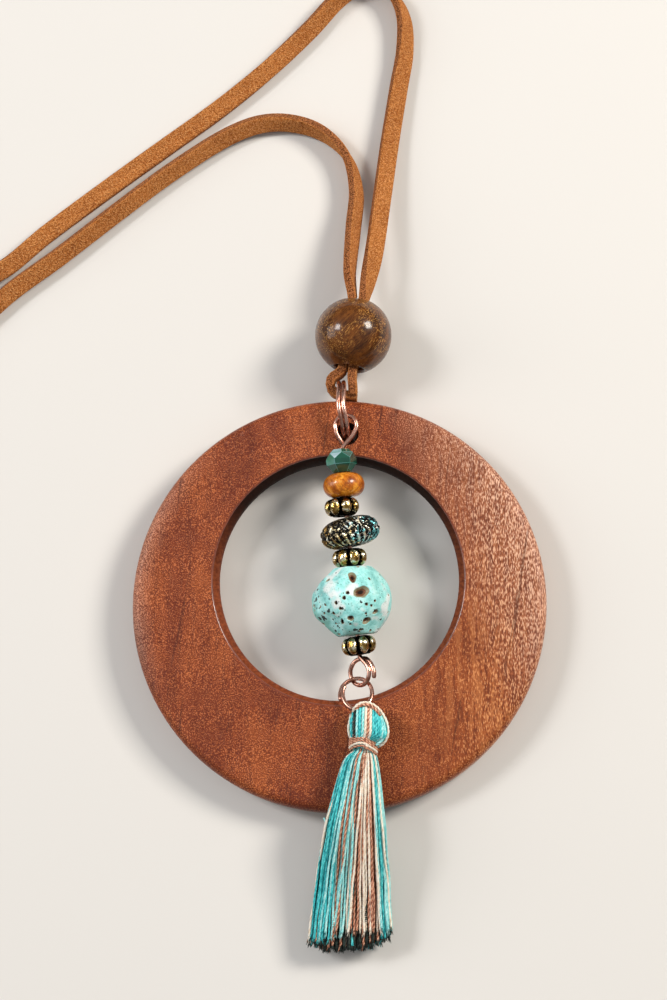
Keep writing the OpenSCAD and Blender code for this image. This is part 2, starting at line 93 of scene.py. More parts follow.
class Paint:
    """One procedural material, built node by node."""

    def __init__(self, name, sockets):
        self.material = bpy.data.materials.new(name)
        self.material.use_nodes = True
        self.tree = self.material.node_tree
        self.shader = self.tree.nodes["Principled BSDF"]
        for socket, value in sockets.items():
            self.shader.inputs[socket].default_value = value
        self.spot = self.add("TexCoord").outputs["Object"]

    def add(self, kind, inputs=None, **settings):
        """A node with its inputs linked or given."""
        node = self.tree.nodes.new("ShaderNode" + kind)
        for name, value in settings.items():
            setattr(node, name, value)
        for socket, value in (inputs or {}).items():
            if isinstance(value, bpy.types.NodeSocket):
                self.tree.links.new(value, node.inputs[socket])
            else:
                node.inputs[socket].default_value = value
        return node

    def grain(self, size, turn=(0, 0, 0)):
        """Coordinates along turned axes in which a feature's size, one number or three, is one unit."""
        turn = [radians(a) for a in turn]
        scale = [s * MM for s in (size if isinstance(size, tuple) else (size,) * 3)]
        return self.add("Mapping", {"Vector": self.spot, "Rotation": turn, "Scale": scale},
                        vector_type="TEXTURE").outputs[0]

    def noise(self, size, detail=2, rough=0.5, distortion=0, turn=(0, 0, 0)):
        """Smooth noise, about 0.3 to 0.7, whose features have a size."""
        return self.add("TexNoise", {"Vector": self.grain(size, turn), "Scale": 1, "Detail": detail,
                                     "Roughness": rough, "Distortion": distortion}).outputs["Fac"]

    def ramp(self, value, *stops):
        """Colours or greys through the stops' places."""
        node = self.add("ValToRGB", {"Fac": value})
        points = node.color_ramp.elements
        while len(points) < len(stops):
            points.new(1)
        for point, (place, colour) in zip(points, stops):
            point.position = place
            point.color = rgb(*colour) if isinstance(colour, tuple) else (colour, colour, colour, 1)
        return node.outputs["Color"]

    def blend(self, share, a, b):
        """Colour b over colour a, by share."""
        node = self.add("Mix", data_type="RGBA")
        for index, value in ((0, share), (6, a), (7, b)):
            if isinstance(value, bpy.types.NodeSocket):
                self.tree.links.new(value, node.inputs[index])
            else:
                node.inputs[index].default_value = rgb(*value) if isinstance(value, tuple) else value
        return node.outputs[2]

    def lay(self, base, value, start, stop, colour):
        """A colour over base, by a share that goes from start to stop: each a value and its share."""
        return self.blend(self.ramp(value, start, stop), base, colour)

    def math(self, operation, a, b=0.0):
        """A sum of one or two numbers."""
        return self.add("Math", {0: a, 1: b}, operation=operation).outputs[0]

    def times(self, a, b):
        """One number times another."""
        return self.math("MULTIPLY", a, b)

    def plus(self, a, b):
        """One number and another."""
        return self.math("ADD", a, b)

    def minus(self, a, b):
        """One number less another."""
        return self.math("SUBTRACT", a, b)

    def place(self, axis):
        """The place along one of the frame's axes, in metres."""
        return self.add("SeparateXYZ", {0: self.spot}).outputs[axis]

    def attribute(self, name):
        """A number stored on the mesh's points."""
        return self.add("Attribute", attribute_name=name).outputs["Fac"]

    def link(self, value, socket):
        """Feeds one of the shader's sockets."""
        self.tree.links.new(value, self.shader.inputs[socket])

    def finish(self, colour, height, depth):
        """Gives the shader its colour and a relief of a depth, and hands the paint over."""
        self.link(colour, "Base Color")
        relief = self.add("Bump", {"Height": height, "Strength": 1, "Distance": depth * MM})
        self.link(relief.outputs["Normal"], "Normal")
        return self


# Shared helpers for meshes.
def unit(v):
    """Rows of v at length one."""
    return v / np.linalg.norm(v, axis=-1, keepdims=True)


def full_turn(count):
    """Angles in equal steps once round."""
    return np.linspace(0, 2 * pi, count, endpoint=False)


def turned(x, y, angle):
    """A place x, y turned about zero."""
    return x * cos(angle) - y * sin(angle), x * sin(angle) + y * cos(angle)


def share_of(x):
    """x kept between 0 and 1."""
    return min(1, max(0, x))


class Solid:
    """Collects the closed parts of one piece, then makes its mesh."""

    def __init__(self):
        self.points = []
        self.faces = []
        self.paints = []
        self.uvs = []
        self.sides = []
        self.count = 0

    def add_rings(self, rings, paint=0, joined=False, along=None, sides=None):
        """A surface through rings of points: rings[i][k]. joined closes it end to end."""
        rings = np.asarray(rings, float)
        m, n = rings.shape[:2]
        base = self.count
        along = np.zeros(m + 1) if along is None else np.asarray(along, float)
        last = m if joined else m - 1
        for i in range(last):
            a, b = base + i * n, base + (i + 1) % m * n
            for k in range(n):
                k2 = (k + 1) % n
                self.faces.append((a + k, a + k2, b + k2, b + k))
                self.uvs.append(((k / n, along[i]), ((k + 1) / n, along[i]),
                                 ((k + 1) / n, along[i + 1]), (k / n, along[i + 1])))
                self.paints.append(paint)
        if not joined:
            first = tuple(base + k for k in range(n))
            final = tuple(base + (m - 1) * n + k for k in range(n))
            for ring, u in ((first[::-1], along[0]), (final, along[m - 1])):
                self.faces.append(ring)
                self.uvs.append(tuple((0.5, u) for _ in ring))
                self.paints.append(paint)
        self.points.append(rings.reshape(-1, 3))
        sides = np.zeros(n) if sides is None else np.asarray(sides, float)
        self.sides.append(np.tile(sides, m) if sides.size == n else sides.ravel())
        self.count += m * n

    def place(self, name, materials, slot, node, smooth_angle=180, cutter=None):
        """The finished piece, in place of its CAD node."""
        return place_piece(self.make(name, materials, smooth_angle, cutter), node)

    def make(self, name, materials, smooth_angle=180, cutter=None):
        """The piece as an object, smooth wherever its faces meet below smooth_angle."""
        mesh = bpy.data.meshes.new(name)
        mesh.from_pydata(np.concatenate(self.points) * MM, [], self.faces)
        layer = mesh.uv_layers.new(name="UVMap")
        layer.data.foreach_set("uv", np.array([c for face in self.uvs for c in face], np.float32).ravel())
        mesh.polygons.foreach_set("material_index", self.paints)
        side = mesh.attributes.new("side", "FLOAT", "POINT")
        side.data.foreach_set("value", np.concatenate(self.sides).astype(np.float32))
        return finish_mesh(name, mesh, materials, smooth_angle, cutter)


def finish_mesh(name, mesh, materials, smooth_angle=180, cutter=None):
    """Turns a mesh's faces outward, cuts it, shades it and puts it in the scene."""
    for paint in materials:
        mesh.materials.append(paint.material)
    bm = bmesh.new()
    bm.from_mesh(mesh)
    bmesh.ops.recalc_face_normals(bm, faces=bm.faces)
    bm.to_mesh(mesh)
    bm.free()
    obj = bpy.data.objects.new(name, mesh)
    scene.collection.objects.link(obj)
    if cutter:
        cut = obj.modifiers.new("cut", "BOOLEAN")
        cut.object = cutter
        cut.solver = "EXACT"
        whole = obj.evaluated_get(bpy.context.evaluated_depsgraph_get())
        cut_mesh = bpy.data.meshes.new_from_object(whole)
        obj.modifiers.clear()
        obj.data = cut_mesh
        bpy.data.objects.remove(cutter)
    obj.data.shade_smooth()
    if smooth_angle < 180:
        obj.data.set_sharp_from_angle(angle=radians(smooth_angle))
    return obj


def place_piece(obj, node):
    """Rides a piece on the body, in place of its CAD node."""
    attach(obj, "root")
    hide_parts(node)
    return obj


def smooth_path(rows, step):
    """A smooth curve through the rows, with a point about every step."""
    rows = np.asarray(rows, float)
    out = []
    for i in range(len(rows) - 1):
        a, b, c, d = rows[max(i - 1, 0)], rows[i], rows[i + 1], rows[min(i + 2, len(rows) - 1)]
        count = max(1, round(np.linalg.norm((c - b)[:3]) / step))
        for k in range(count):
            t = k / count
            out.append(0.5 * (2 * b + (c - a) * t + (2 * a - 5 * b + 4 * c - d) * t * t
                              + (3 * b - a - 3 * c + d) * t ** 3))
    out.append(rows[-1])
    return np.array(out)


def run_length(line):
    """Distance along a line at each of its points."""
    return np.concatenate([[0], np.cumsum(np.linalg.norm(np.diff(line, axis=0), axis=1))])


def tube_rings(line, radii, sides, turns=None, pinch=0.0):
    """Rings round a line. turns twists them, and pinch makes them two-ply."""
    line = np.asarray(line, float)
    way = unit(np.gradient(line, axis=0))
    across = np.cross(way[0], [0.31, 0.17, 0.94])
    frames = []
    for w in way:
        across = across - w * across.dot(w)
        across = across / np.linalg.norm(across)
        frames.append((across, np.cross(w, across)))
    frames = np.array(frames)
    k = np.arange(sides) / sides * 2 * pi
    twist = np.zeros(len(line)) if turns is None else np.asarray(turns)
    angle = k[None] + twist[:, None] * 2 * pi
    size = np.broadcast_to(radii, (len(line),))[:, None] * (1 - pinch * (1 - np.abs(np.cos(k)))[None])
    return (line[:, None] + frames[:, None, 0] * (size * np.cos(angle))[..., None]
            + frames[:, None, 1] * (size * np.sin(angle))[..., None])


def round_ends(line, radius):
    """Radii of a wire whose two cut ends are softly rounded."""
    reach = run_length(np.asarray(line, float))
    edge = np.minimum(reach, reach[-1] - reach)
    return radius * np.sqrt(np.clip(1 - (1 - np.clip(edge / (radius * 0.6), 0, 1)) ** 2, 0.3, 1))


# The pin's own frame: x to the right, y down to the surface, z up the pin.
PIN_UP = np.array([-0.085, 0.99183, 0.09515])
PIN_RIGHT = unit(np.array([0.9964, 0.0854, 0]))
PIN_START = np.array([0.75, 24.054, 8.536])


def on_pin(points, middle, lean=0):
    """Moves points drawn in the pin's frame to their place about a middle."""
    a = radians(lean)
    right = PIN_RIGHT * cos(a) + PIN_UP * sin(a)
    up = PIN_UP * cos(a) - PIN_RIGHT * sin(a)
    under = np.cross(up, right)
    points = np.asarray(points, float)
    return middle + points[..., :1] * right + points[..., 1:2] * under + points[..., 2:] * up


def middle_mm(node):
    """The middle of a CAD node's box, in millimetres."""
    return np.array(box_middle(node)) / MM


# The ring's own frame: x right, y up the ring, z out of its front, from the ring's middle.
RING_R = 32.7
RING_HALF = 2.5
RING_ROUND = 1.5
OPENING_R = 19
OPENING_UP = 3.8
HOLE_X = 1.5
HOLE_Y = 27.1
ring_low, ring_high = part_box("pendant_ring")
RING_TILT = asin(((ring_high.z - ring_low.z) / MM - 2 * RING_HALF) / (2 * (RING_R - RING_ROUND)))
ring_middle = middle_mm("pendant_ring")


def on_ring(points):
    """Moves points drawn in the ring's frame to their place."""
    points = np.asarray(points, float)
    y, z = turned(points[..., 1], points[..., 2], RING_TILT)
    return np.stack([points[..., 0], y, z], -1) + ring_middle


# Materials.
def suede_paint():
    """Tan suede: a mottled nap with pale and dark specks, and darker, rougher cut edges, their darkness
    partly the raw leather edge and partly painted shade.
    """
    p = Paint("suede", {"Roughness": 0.95, "Sheen Weight": 0.15, "Sheen Roughness": 0.4,
                        "Sheen Tint": rgb(255, 205, 150), "Specular IOR Level": 0.1})
    broad = p.noise(5, 3, 0.6)
    nap = p.noise(0.36, 2, 0.6)
    speck = p.noise(0.17, 1, 0.5)
    base = p.ramp(broad, (0.3, (146, 78, 30)), (0.7, (184, 110, 52)))
    base = p.lay(base, nap, (0.4, 0), (0.6, 0.7), (208, 138, 76))
    base = p.lay(base, speck, (0.36, 0.6), (0.46, 0), (104, 54, 26))
    base = p.lay(base, speck, (0.55, 0), (0.66, 0.5), (240, 182, 122))
    # The cut edges and ends are darkened: partly the raw leather edge, partly painted shade.
    cut = p.minus(1, p.math("ABSOLUTE", p.attribute("side")))
    edge = p.blend(p.ramp(speck, (0.42, 0), (0.55, 1)), (64, 30, 16), (170, 106, 66))
    base = p.lay(base, cut, (0.15, 0), (0.4, 0.85), edge)
    return p.finish(base, p.plus(nap, p.times(speck, 1.4)), 0.2)


def slide_paint(turn):
    """Dark lacquered wood with fine yellowish dashes of grain."""
    p = Paint("slide_wood", {"Roughness": 0.4, "Specular IOR Level": 0.1, "Coat Weight": 0.8,
                             "Coat Roughness": 0.13, "Coat IOR": 1.38})
    broad = p.noise((1.4, 5, 1.4), 4, 0.6, 0.4, turn=turn)
    dash = p.noise((0.15, 0.8, 0.15), 1, 0.6, turn=turn)
    patch = p.noise(4, 2, 0.5)
    base = p.ramp(broad, (0.34, (58, 28, 7)), (0.66, (110, 62, 20)))
    shown = p.times(p.ramp(dash, (0.56, 0), (0.66, 0.8)), p.ramp(patch, (0.44, 0.1), (0.56, 1)))
    base = p.blend(shown, base, (196, 144, 74))
    base = p.lay(base, dash, (0.34, 0.6), (0.42, 0), (30, 14, 4))
    return p.finish(base, dash, 0.03)


def ring_paint():
    """Stained reddish wood: fine pores, bright specks, golden streaks of grain. Painted light: a lighter
    right side, and painted sheen on the upper right and on the outer rim at the left and right sides.
    """
    p = Paint("ring_wood", {"Roughness": 0.42, "Specular IOR Level": 0.3, "Sheen Weight": 0.2,
                            "Sheen Roughness": 0.3, "Sheen Tint": rgb(255, 222, 204)})
    broad = p.noise((8, 18, 8), 4, 0.6, 0.5)
    streak = p.noise((0.8, 8, 0.8), 3, 0.6, 0.3)
    speck = p.noise((0.16, 0.19, 0.16), 1, 0.4)
    dash = p.noise((0.17, 0.6, 0.17), 1, 0.4)
    right = p.ramp(p.times(p.place("X"), 1 / 0.033), (0.25, 0), (0.75, 1))
    grain = p.blend(right, speck, dash)
    base = p.ramp(broad, (0.32, (96, 33, 10)), (0.5, (122, 50, 17)), (0.68, (146, 70, 28)))
    # Painted light: the right side, towards the key light, is painted lighter.
    base = p.blend(p.times(right, 0.6), base, (160, 86, 42))
    base = p.lay(base, streak, (0.36, 0.55), (0.5, 0), (90, 32, 10))
    base = p.lay(base, grain, (0.36, 0.65), (0.46, 0), (80, 26, 8))
    # Painted light: the bright specks are paler on the right side.
    glow = p.blend(right, (222, 134, 82), (236, 168, 112))
    lit = p.times(p.ramp(grain, (0.54, 0), (0.64, 0.6)), p.ramp(broad, (0.3, 0.4), (0.55, 1)))
    base = p.blend(lit, base, glow)
    # Golden grain streaks shown only on the right side: grain, and painted glints of the key light.
    gold = p.times(right, p.ramp(streak, (0.5, 0), (0.62, 0.3)))
    base = p.blend(gold, base, (206, 134, 78))
    # Painted sheen: pale specks laid over the upper right of the ring.
    upper_right = p.plus(p.times(p.place("X"), 1 / 0.0325), p.times(p.place("Y"), 0.4 / 0.0325))
    painted_sheen = p.ramp(grain, (0.36, (112, 62, 44)), (0.5, (168, 112, 86)), (0.62, (242, 210, 188)))
    base = p.lay(base, upper_right, (0.6, 0), (1, 0.5), painted_sheen)
    # Painted sheen: a pale speckled band on the outer rim at the left and right sides.
    east = p.times(p.place("X"), 1 / (RING_R * MM))
    north = p.times(p.minus(p.place("Y"), ring_middle[1] * MM), 1 / (RING_R * MM))
    out = p.plus(p.times(east, east), p.times(north, north))
    sides = p.ramp(p.plus(p.times(north, 0.5), 0.5), (0.28, 0), (0.45, 1), (0.7, 1), (0.88, 0))
    rim = p.times(p.ramp(out, (0.8, 0), (0.95, 0.45)), sides)
    base = p.blend(p.times(rim, p.ramp(grain, (0.44, 0.15), (0.56, 1))), base, (216, 162, 134))
    crack = p.noise((1.1, 26, 4), 2, 0.5, 0.8, turn=(0, 0, -8))
    base = p.lay(base, crack, (0.32, 0.5), (0.34, 0), (66, 24, 12))
    p.link(p.ramp(grain, (0.4, 0.55), (0.62, 0.3)), "Roughness")
    return p.finish(base, grain, 0.08)


def wall_paint():
    """Wall of the opening and the drilled hole, with painted shade that darkens it towards the top."""
    p = Paint("wall_wood_painted_shade", {"Roughness": 0.6, "Specular IOR Level": 0.12})
    streak = p.noise((0.5, 0.5, 2.5), 3, 0.6)
    high = p.times(p.place("Y"), 1 / 0.04)
    base = p.ramp(streak, (0.3, (94, 38, 16)), (0.7, (146, 74, 40)))
    # Painted shade: darker towards the top, where the wall faces down.
    base = p.lay(base, high, (0.1, 0), (0.45, 0.96), (22, 8, 4))
    return p.finish(base, streak, 0.08)


def edge_paint():
    """Rounded edge of the opening, rubbed smooth and shiny."""
    p = Paint("rubbed_edge", {"Roughness": 0.3, "Specular IOR Level": 0.5, "Coat Weight": 0.6,
                              "Coat Roughness": 0.16})
    streak = p.noise((0.5, 2, 0.5), 3, 0.6)
    return p.finish(p.ramp(streak, (0.3, (84, 30, 12)), (0.7, (138, 62, 30))), streak, 0.03)


def copper_paint():
    """Pinkish plated copper wire with faint draw lines."""
    p = Paint("copper", {"Metallic": 1, "Roughness": 0.24})
    tarnish = p.noise(1.2, 3, 0.6)
    p.link(p.ramp(tarnish, (0.3, 0.38), (0.7, 0.18)), "Roughness")
    base = p.ramp(tarnish, (0.35, (156, 106, 88)), (0.6, (228, 182, 164)))
    return p.finish(base, p.noise(0.08, 1), 0.004)


def green_paint():
    """Dark teal crystal whose facets differ a little in tone, with painted reflections: lighter facets
    facing the upper left and a lighter tone on the bevelled edges.
    """
    p = Paint("green_glass", {"Roughness": 0.08, "IOR": 1.5, "Coat Weight": 0.6, "Coat Roughness": 0.03})
    depth = p.noise(2.2, 2, 0.5)
    tone = p.plus(p.attribute("tone"), p.times(p.minus(depth, 0.5), 0.35))
    p.link(p.ramp(tone, (0, (6, 46, 38)), (0.3, (15, 84, 64)), (0.5, (36, 128, 102)),
                  (0.66, (104, 150, 156)), (0.85, (196, 212, 222))), "Base Color")
    return p


def amber_paint():
    """Polished orange-brown wood with curved dark lines of grain."""
    p = Paint("amber_wood", {"Roughness": 0.35, "Specular IOR Level": 0.3, "Coat Weight": 0.7,
                             "Coat Roughness": 0.1, "Coat IOR": 1.35})
    line = p.noise((0.5, 1.8, 0.3), 2, 0.6, 1.2, turn=(0, 0, 30))
    broad = p.noise(1.6, 3, 0.5)
    base = p.ramp(broad, (0.34, (140, 64, 4)), (0.52, (198, 110, 14)), (0.66, (224, 142, 32)))
    base = p.lay(base, line, (0.4, 0.5), (0.5, 0), (98, 42, 6))
    base = p.lay(base, line, (0.57, 0), (0.66, 0.5), (236, 176, 76))
    return p.finish(base, line, 0.03)


def brass_paint():
    """Antique brass: worn golden on the high places, black in the low ones."""
    p = Paint("antique_brass", {"Metallic": 1, "Roughness": 0.2})
    wear = p.attribute("side")
    mottle = p.noise(0.42, 2, 0.6)
    dent = p.noise(0.8, 1, 0.5)
    worn = p.plus(wear, p.times(p.minus(mottle, 0.5), 1.3))
    gold = p.ramp(dent, (0.36, (150, 114, 54)), (0.5, (208, 180, 112)), (0.6, (248, 240, 208)))
    base = p.blend(p.ramp(worn, (0.44, 0), (0.58, 1)), (9, 8, 6), gold)
    p.link(p.ramp(worn, (0.4, 0.5), (0.7, 0.16)), "Roughness")
    return p.finish(base, p.plus(dent, p.times(mottle, 0.5)), 0.16)


def patina_paint():
    """Blackened metal, its relief worn to cream, gold and blue-green."""
    p = Paint("patina", {"Metallic": 0.8, "Roughness": 0.3})
    wear = p.attribute("side")
    fleck = p.noise(0.36, 2, 0.6, 0.4)
    hue = p.noise(1.3, 2, 0.6)
    east = p.times(p.minus(p.place("X"), 0.002), 40)
    worn = p.plus(wear, p.times(p.minus(fleck, 0.5), 2.6))
    bright = p.ramp(p.plus(hue, east), (0.38, (156, 124, 70)), (0.46, (244, 232, 190)),
                    (0.56, (248, 250, 244)), (0.66, (128, 216, 222)))
    base = p.blend(p.ramp(worn, (0.44, 0), (0.56, 1)), (7, 9, 9), bright)
    spot = p.noise(0.28, 1, 0.4, 0.5)
    base = p.lay(base, spot, (0.62, 0), (0.65, 0.85), bright)
    p.link(p.ramp(worn, (0.5, 0.45), (0.8, 0.2)), "Roughness")
    return p.finish(base, fleck, 0.12)


def lava_paint():
    """Dyed aqua stone with white scuffs, round black pores and brown pits; painted shade makes it darker
    green towards the lower left and darkest deep in the pits.
    """
    p = Paint("lava_stone", {"Roughness": 0.5, "Specular IOR Level": 0.4})
    pit = p.attribute("side")
    broad = p.noise(3.6, 2, 0.5)
    cloud = p.noise(1.5, 4, 0.6)
    fine = p.noise(0.3, 2)
    low_left = p.minus(p.times(p.place("X"), -55), p.times(p.place("Y"), 65))
    base = p.ramp(cloud, (0.34, (126, 200, 198)), (0.5, (158, 228, 226)), (0.66, (190, 240, 238)))
    # Painted shade: darker green towards the lower left.
    base = p.lay(base, p.plus(p.times(low_left, 0.8), broad), (0.52, 0), (0.68, 0.8), (112, 178, 164))
    base = p.lay(base, broad, (0.55, 0), (0.62, 0.75), (240, 240, 240))
    base = p.lay(base, fine, (0.34, 0.5), (0.42, 0), (96, 160, 146))
    many = p.ramp(p.plus(p.times(low_left, 0.5), cloud), (0.38, 0.35), (0.56, 1))
    for wide, most in ((1, 0.54), (0.6, 0.58)):
        dots = p.add("TexVoronoi", {"Vector": p.grain(wide), "Scale": 1})
        size = p.times(p.times(p.minus(dots.outputs["Color"], 0.16), many), most)
        inside = p.minus(size, dots.outputs["Distance"])
        base = p.lay(base, p.times(inside, 12), (0, 0), (0.35, 0.95), (22, 30, 28))
    base = p.lay(base, pit, (0.1, 0), (0.18, 1), (150, 142, 116))
    base = p.lay(base, pit, (0.6, 0), (0.68, 1), (112, 70, 46))
    # Painted shade: the darkest brown, deep in the pits.
    base = p.lay(base, pit, (0.8, 0), (0.92, 1), (34, 20, 14))
    p.link(p.ramp(pit, (0.2, 0.5), (0.5, 0.22)), "Roughness")
    return p.finish(base, p.plus(p.times(cloud, 0.6), p.times(fine, 0.5)), 0.06)


def thread_paint(name, dark, mid, light, groove_shade=0.15):
    """Twisted cotton with fine slanting fibres. Its last argument sets how much painted shade darkens the
    groove between its plies.
    """
    p = Paint(name, {"Roughness": 0.65, "Sheen Weight": 0.4, "Sheen Roughness": 0.35,
                     "Sheen Tint": rgb(*light), "Specular IOR Level": 0.4})
    uv = p.add("SeparateXYZ", {0: p.add("TexCoord").outputs["UV"]}).outputs
    ply = p.math("ABSOLUTE", p.math("COSINE", p.times(uv["X"], 2 * pi)))
    slant = p.plus(p.times(uv["X"], 5), p.times(uv["Y"], 1.6))
    fibre = p.math("SINE", p.times(slant, 2 * pi))
    mottle = p.noise((0.35, 0.9, 0.35), 2, 0.6)
    tone = p.plus(p.times(p.minus(ply, 0.6), groove_shade), p.plus(p.times(fibre, 0.07), mottle))
    base = p.ramp(tone, (0.26, dark), (0.5, mid), (0.72, light))
    return p.finish(base, p.plus(fibre, p.times(mottle, 2)), 0.02)


TEAL = thread_paint("thread_teal", (20, 134, 146), (58, 200, 206), (122, 236, 236))
AQUA = thread_paint("thread_aqua", (92, 196, 202), (156, 236, 236), (214, 252, 248))
CREAM = thread_paint("thread_cream", (224, 200, 172), (252, 240, 220), (255, 252, 244))
BROWN = thread_paint("thread_brown", (122, 66, 48), (196, 128, 98), (236, 184, 154), 0.42)
# The near-black thread is painted shade: it fills the lower layers, the gaps and most frays.
SHADE_THREAD = thread_paint("thread_painted_shade", (12, 14, 12), (28, 36, 32), (64, 88, 80))
THREADS = [TEAL, AQUA, CREAM, BROWN, SHADE_THREAD]
THREAD_KEYS = "tacbd"
copper = copper_paint()
brass = brass_paint()


# Suede lace. Its route is the frame's own: x, y, z and the roll of its flat side.
LACE_WIDTH = 3.0
LACE_THICK = 1.4
LACE_ROUTE = [
    (3, 35.3, 5.1, 90), (1.7, 35.4, 5.1, 90), (0.2, 35.6, 5.1, 90), (-1.1, 36.6, 5.2, 90),
    (-1, 38.1, 5.6, 90), (0.6, 39.3, 6, 90), (1, 41, 6.2, 90), (1.7, 45.4, 6.2, 90),
    (2.4, 50.6, 6.2, 90), (1.9, 56, 5.6, 75), (2.4, 64, 3.8, 62), (2.8, 71, 2.3, 64), (1, 77.4, 1.8, 84),
    (-4, 81.8, 1.7, 110), (-11, 83.2, 1.8, 126), (-18, 81.2, 1.8, 130), (-27.5, 75.2, 1.8, 130),
    (-36.5, 68.4, 1.8, 132), (-46, 60.9, 1.8, 140), (-56, 53.3, 1.6, 152), (-64, 44, 1.2, 168),
    *((x, y, 0.8, 180) for x, y in (
        (-68.5, 26), (-70, 7), (-73, -12), (-79, -30), (-91, -44), (-108, -50), (-125, -45), (-138, -31),
        (-145, -13), (-149, 6), (-150, 25), (-149, 44), (-145, 63), (-137, 80), (-124, 95))),
    (-107, 102, 0.9, 184), (-90, 97, 1.2, 196), (-78, 83, 1.5, 212), (-71, 68, 1.8, 232),
    (-68, 60.5, 1.8, 238), (-63, 56.4, 1.8, 228), (-56, 58.6, 1.5, 208), (-48.5, 64.9, 1.2, 196),
    (-39, 72.2, 1, 190), (-29.5, 79.2, 1, 190), (-20, 86.1, 1.1, 192), (-12, 92.7, 1.3, 200),
    (-5, 99.4, 1.6, 218), (-0.1, 104.7, 1.8, 240), (4.2, 107, 1.8, 262), (8.7, 105.3, 1.8, 282),
    (10.8, 101, 1.8, 300), (10.9, 95, 1.8, 316), (9.9, 89, 1.7, 328), (8.4, 79.5, 1.9, 335),
    (7.1, 69.5, 3, 334), (5.9, 60, 4.7, 326), (4.9, 54.6, 5.7, 300), (4.1, 50.6, 6.2, 272),
    (3.3, 45.2, 6.2, 270), (2.5, 39.8, 6.2, 270), (2.3, 38, 6.1, 270), (2.4, 37, 6, 270),
    (2.4, 35.7, 5.6, 270),
]


def flat_outline(width, thick, corner):
    """Outline of a flat cord: across and face."""
    w, t = width / 2, thick / 2
    outline = []
    top = [(x * w / 3, t) for x in (1.6, 0.6, -0.6, -1.6)]
    under = [(-x, -t) for x, _ in top]
    for sx, sy, start, side in ((1, 1, 0, top), (-1, 1, 90, [(-w, 0)]),
                                (-1, -1, 180, under), (1, -1, 270, [(w, 0)])):
        for turn in (0, 45, 90):
            a = radians(start + turn)
            outline.append((sx * (w - corner) + corner * cos(a), sy * (t - corner) + corner * sin(a)))
        outline += side
    return np.array(outline)


def make_lace():
    """One flat suede strip along the whole route."""
    path = smooth_path(LACE_ROUTE, 0.7)
    line = path[:, :3]
    way = unit(np.gradient(line, axis=0))
    left = unit(np.cross([0, 0, 1], way))
    up = np.cross(way, left)
    roll = np.radians(path[:, 3])[:, None]
    across = left * np.cos(roll) + up * np.sin(roll)
    face = up * np.cos(roll) - left * np.sin(roll)
    outline = flat_outline(LACE_WIDTH, LACE_THICK, 0.3)
    rings = line[:, None] + across[:, None] * outline[None, :, :1] + face[:, None] * outline[None, :, 1:]
    along = run_length(line)
    solid = Solid()
    solid.add_rings(rings, along=along, sides=outline[:, 1] / (LACE_THICK / 2))
    lace = solid.place("lace", [suede_paint()], "suede", "neck_lace", 50)


make_lace()


def make_slide_bead():
    """Round wooden bead with softly worn mouths to its bore."""
    radius, bore, mouth, lean = 6.15, 2.35, 0.45, 8
    start = asin((bore + mouth) / radius)
    outer = [(radius * sin(a), radius * cos(a)) for a in np.linspace(start, pi - start, 90)]
    top = radius * cos(start)
    edge = [(bore + mouth * (1 - sin(a)), top - mouth * (1 - cos(a)))
            for a in np.linspace(pi / 12, pi / 2, 6)]
    wall = [(bore, z) for z in np.linspace(-top + mouth, top - mouth, 14)]
    profile = outer + [(r, -z) for r, z in edge] + wall[1:-1] + edge[::-1]
    a = radians(lean)
    axis = np.array([sin(a), cos(a), 0])
    side = np.array([cos(a), -sin(a), 0])
    under = np.cross(axis, side)
    middle = middle_mm("slide_bead")
    rings = []
    for turn in full_turn(128):
        out = side * cos(turn) + under * sin(turn)
        rings.append([middle + out * r + axis * z for r, z in profile])
    solid = Solid()
    solid.add_rings(rings, joined=True)
    solid.place("slide_bead_wood", [slide_paint((0, 0, -42))], "dark_wood", "slide_bead", 40)


make_slide_bead()


# Wooden ring.
WALL_SLOPE = 0.85
WALL_FALL = 1.7
LIP_R = OPENING_R + WALL_SLOPE
EDGE_ROUND = 0.28


def ring_profile():
    """Points of the ring's section: whose circle, radius and height."""
    rows = []
    edge_z = RING_HALF - EDGE_ROUND
    for z_sign in (1, -1):
        front = []
        for t in np.linspace(0, 1, 6):
            front.append(("in", OPENING_R + WALL_SLOPE * t ** 1.6, edge_z - WALL_FALL * (1 - t)))
        for a in np.radians(np.linspace(0, 90, 6)[1:]):
            front.append(("in", LIP_R + EDGE_ROUND * (1 - cos(a)), edge_z + EDGE_ROUND * sin(a)))
        front += [("mix", t, RING_HALF) for t in np.linspace(0, 1, 16)[1:-1]]
        for a in np.radians(np.linspace(90, 0, 10)):
            front.append(("out", RING_R - RING_ROUND + RING_ROUND * cos(a),
                          RING_HALF - RING_ROUND + RING_ROUND * sin(a)))
        rows.append([(k, r, z * z_sign) for k, r, z in front])
    return rows[0] + [("out", RING_R, 0)] + rows[1][::-1] + [("in", OPENING_R, 0)]


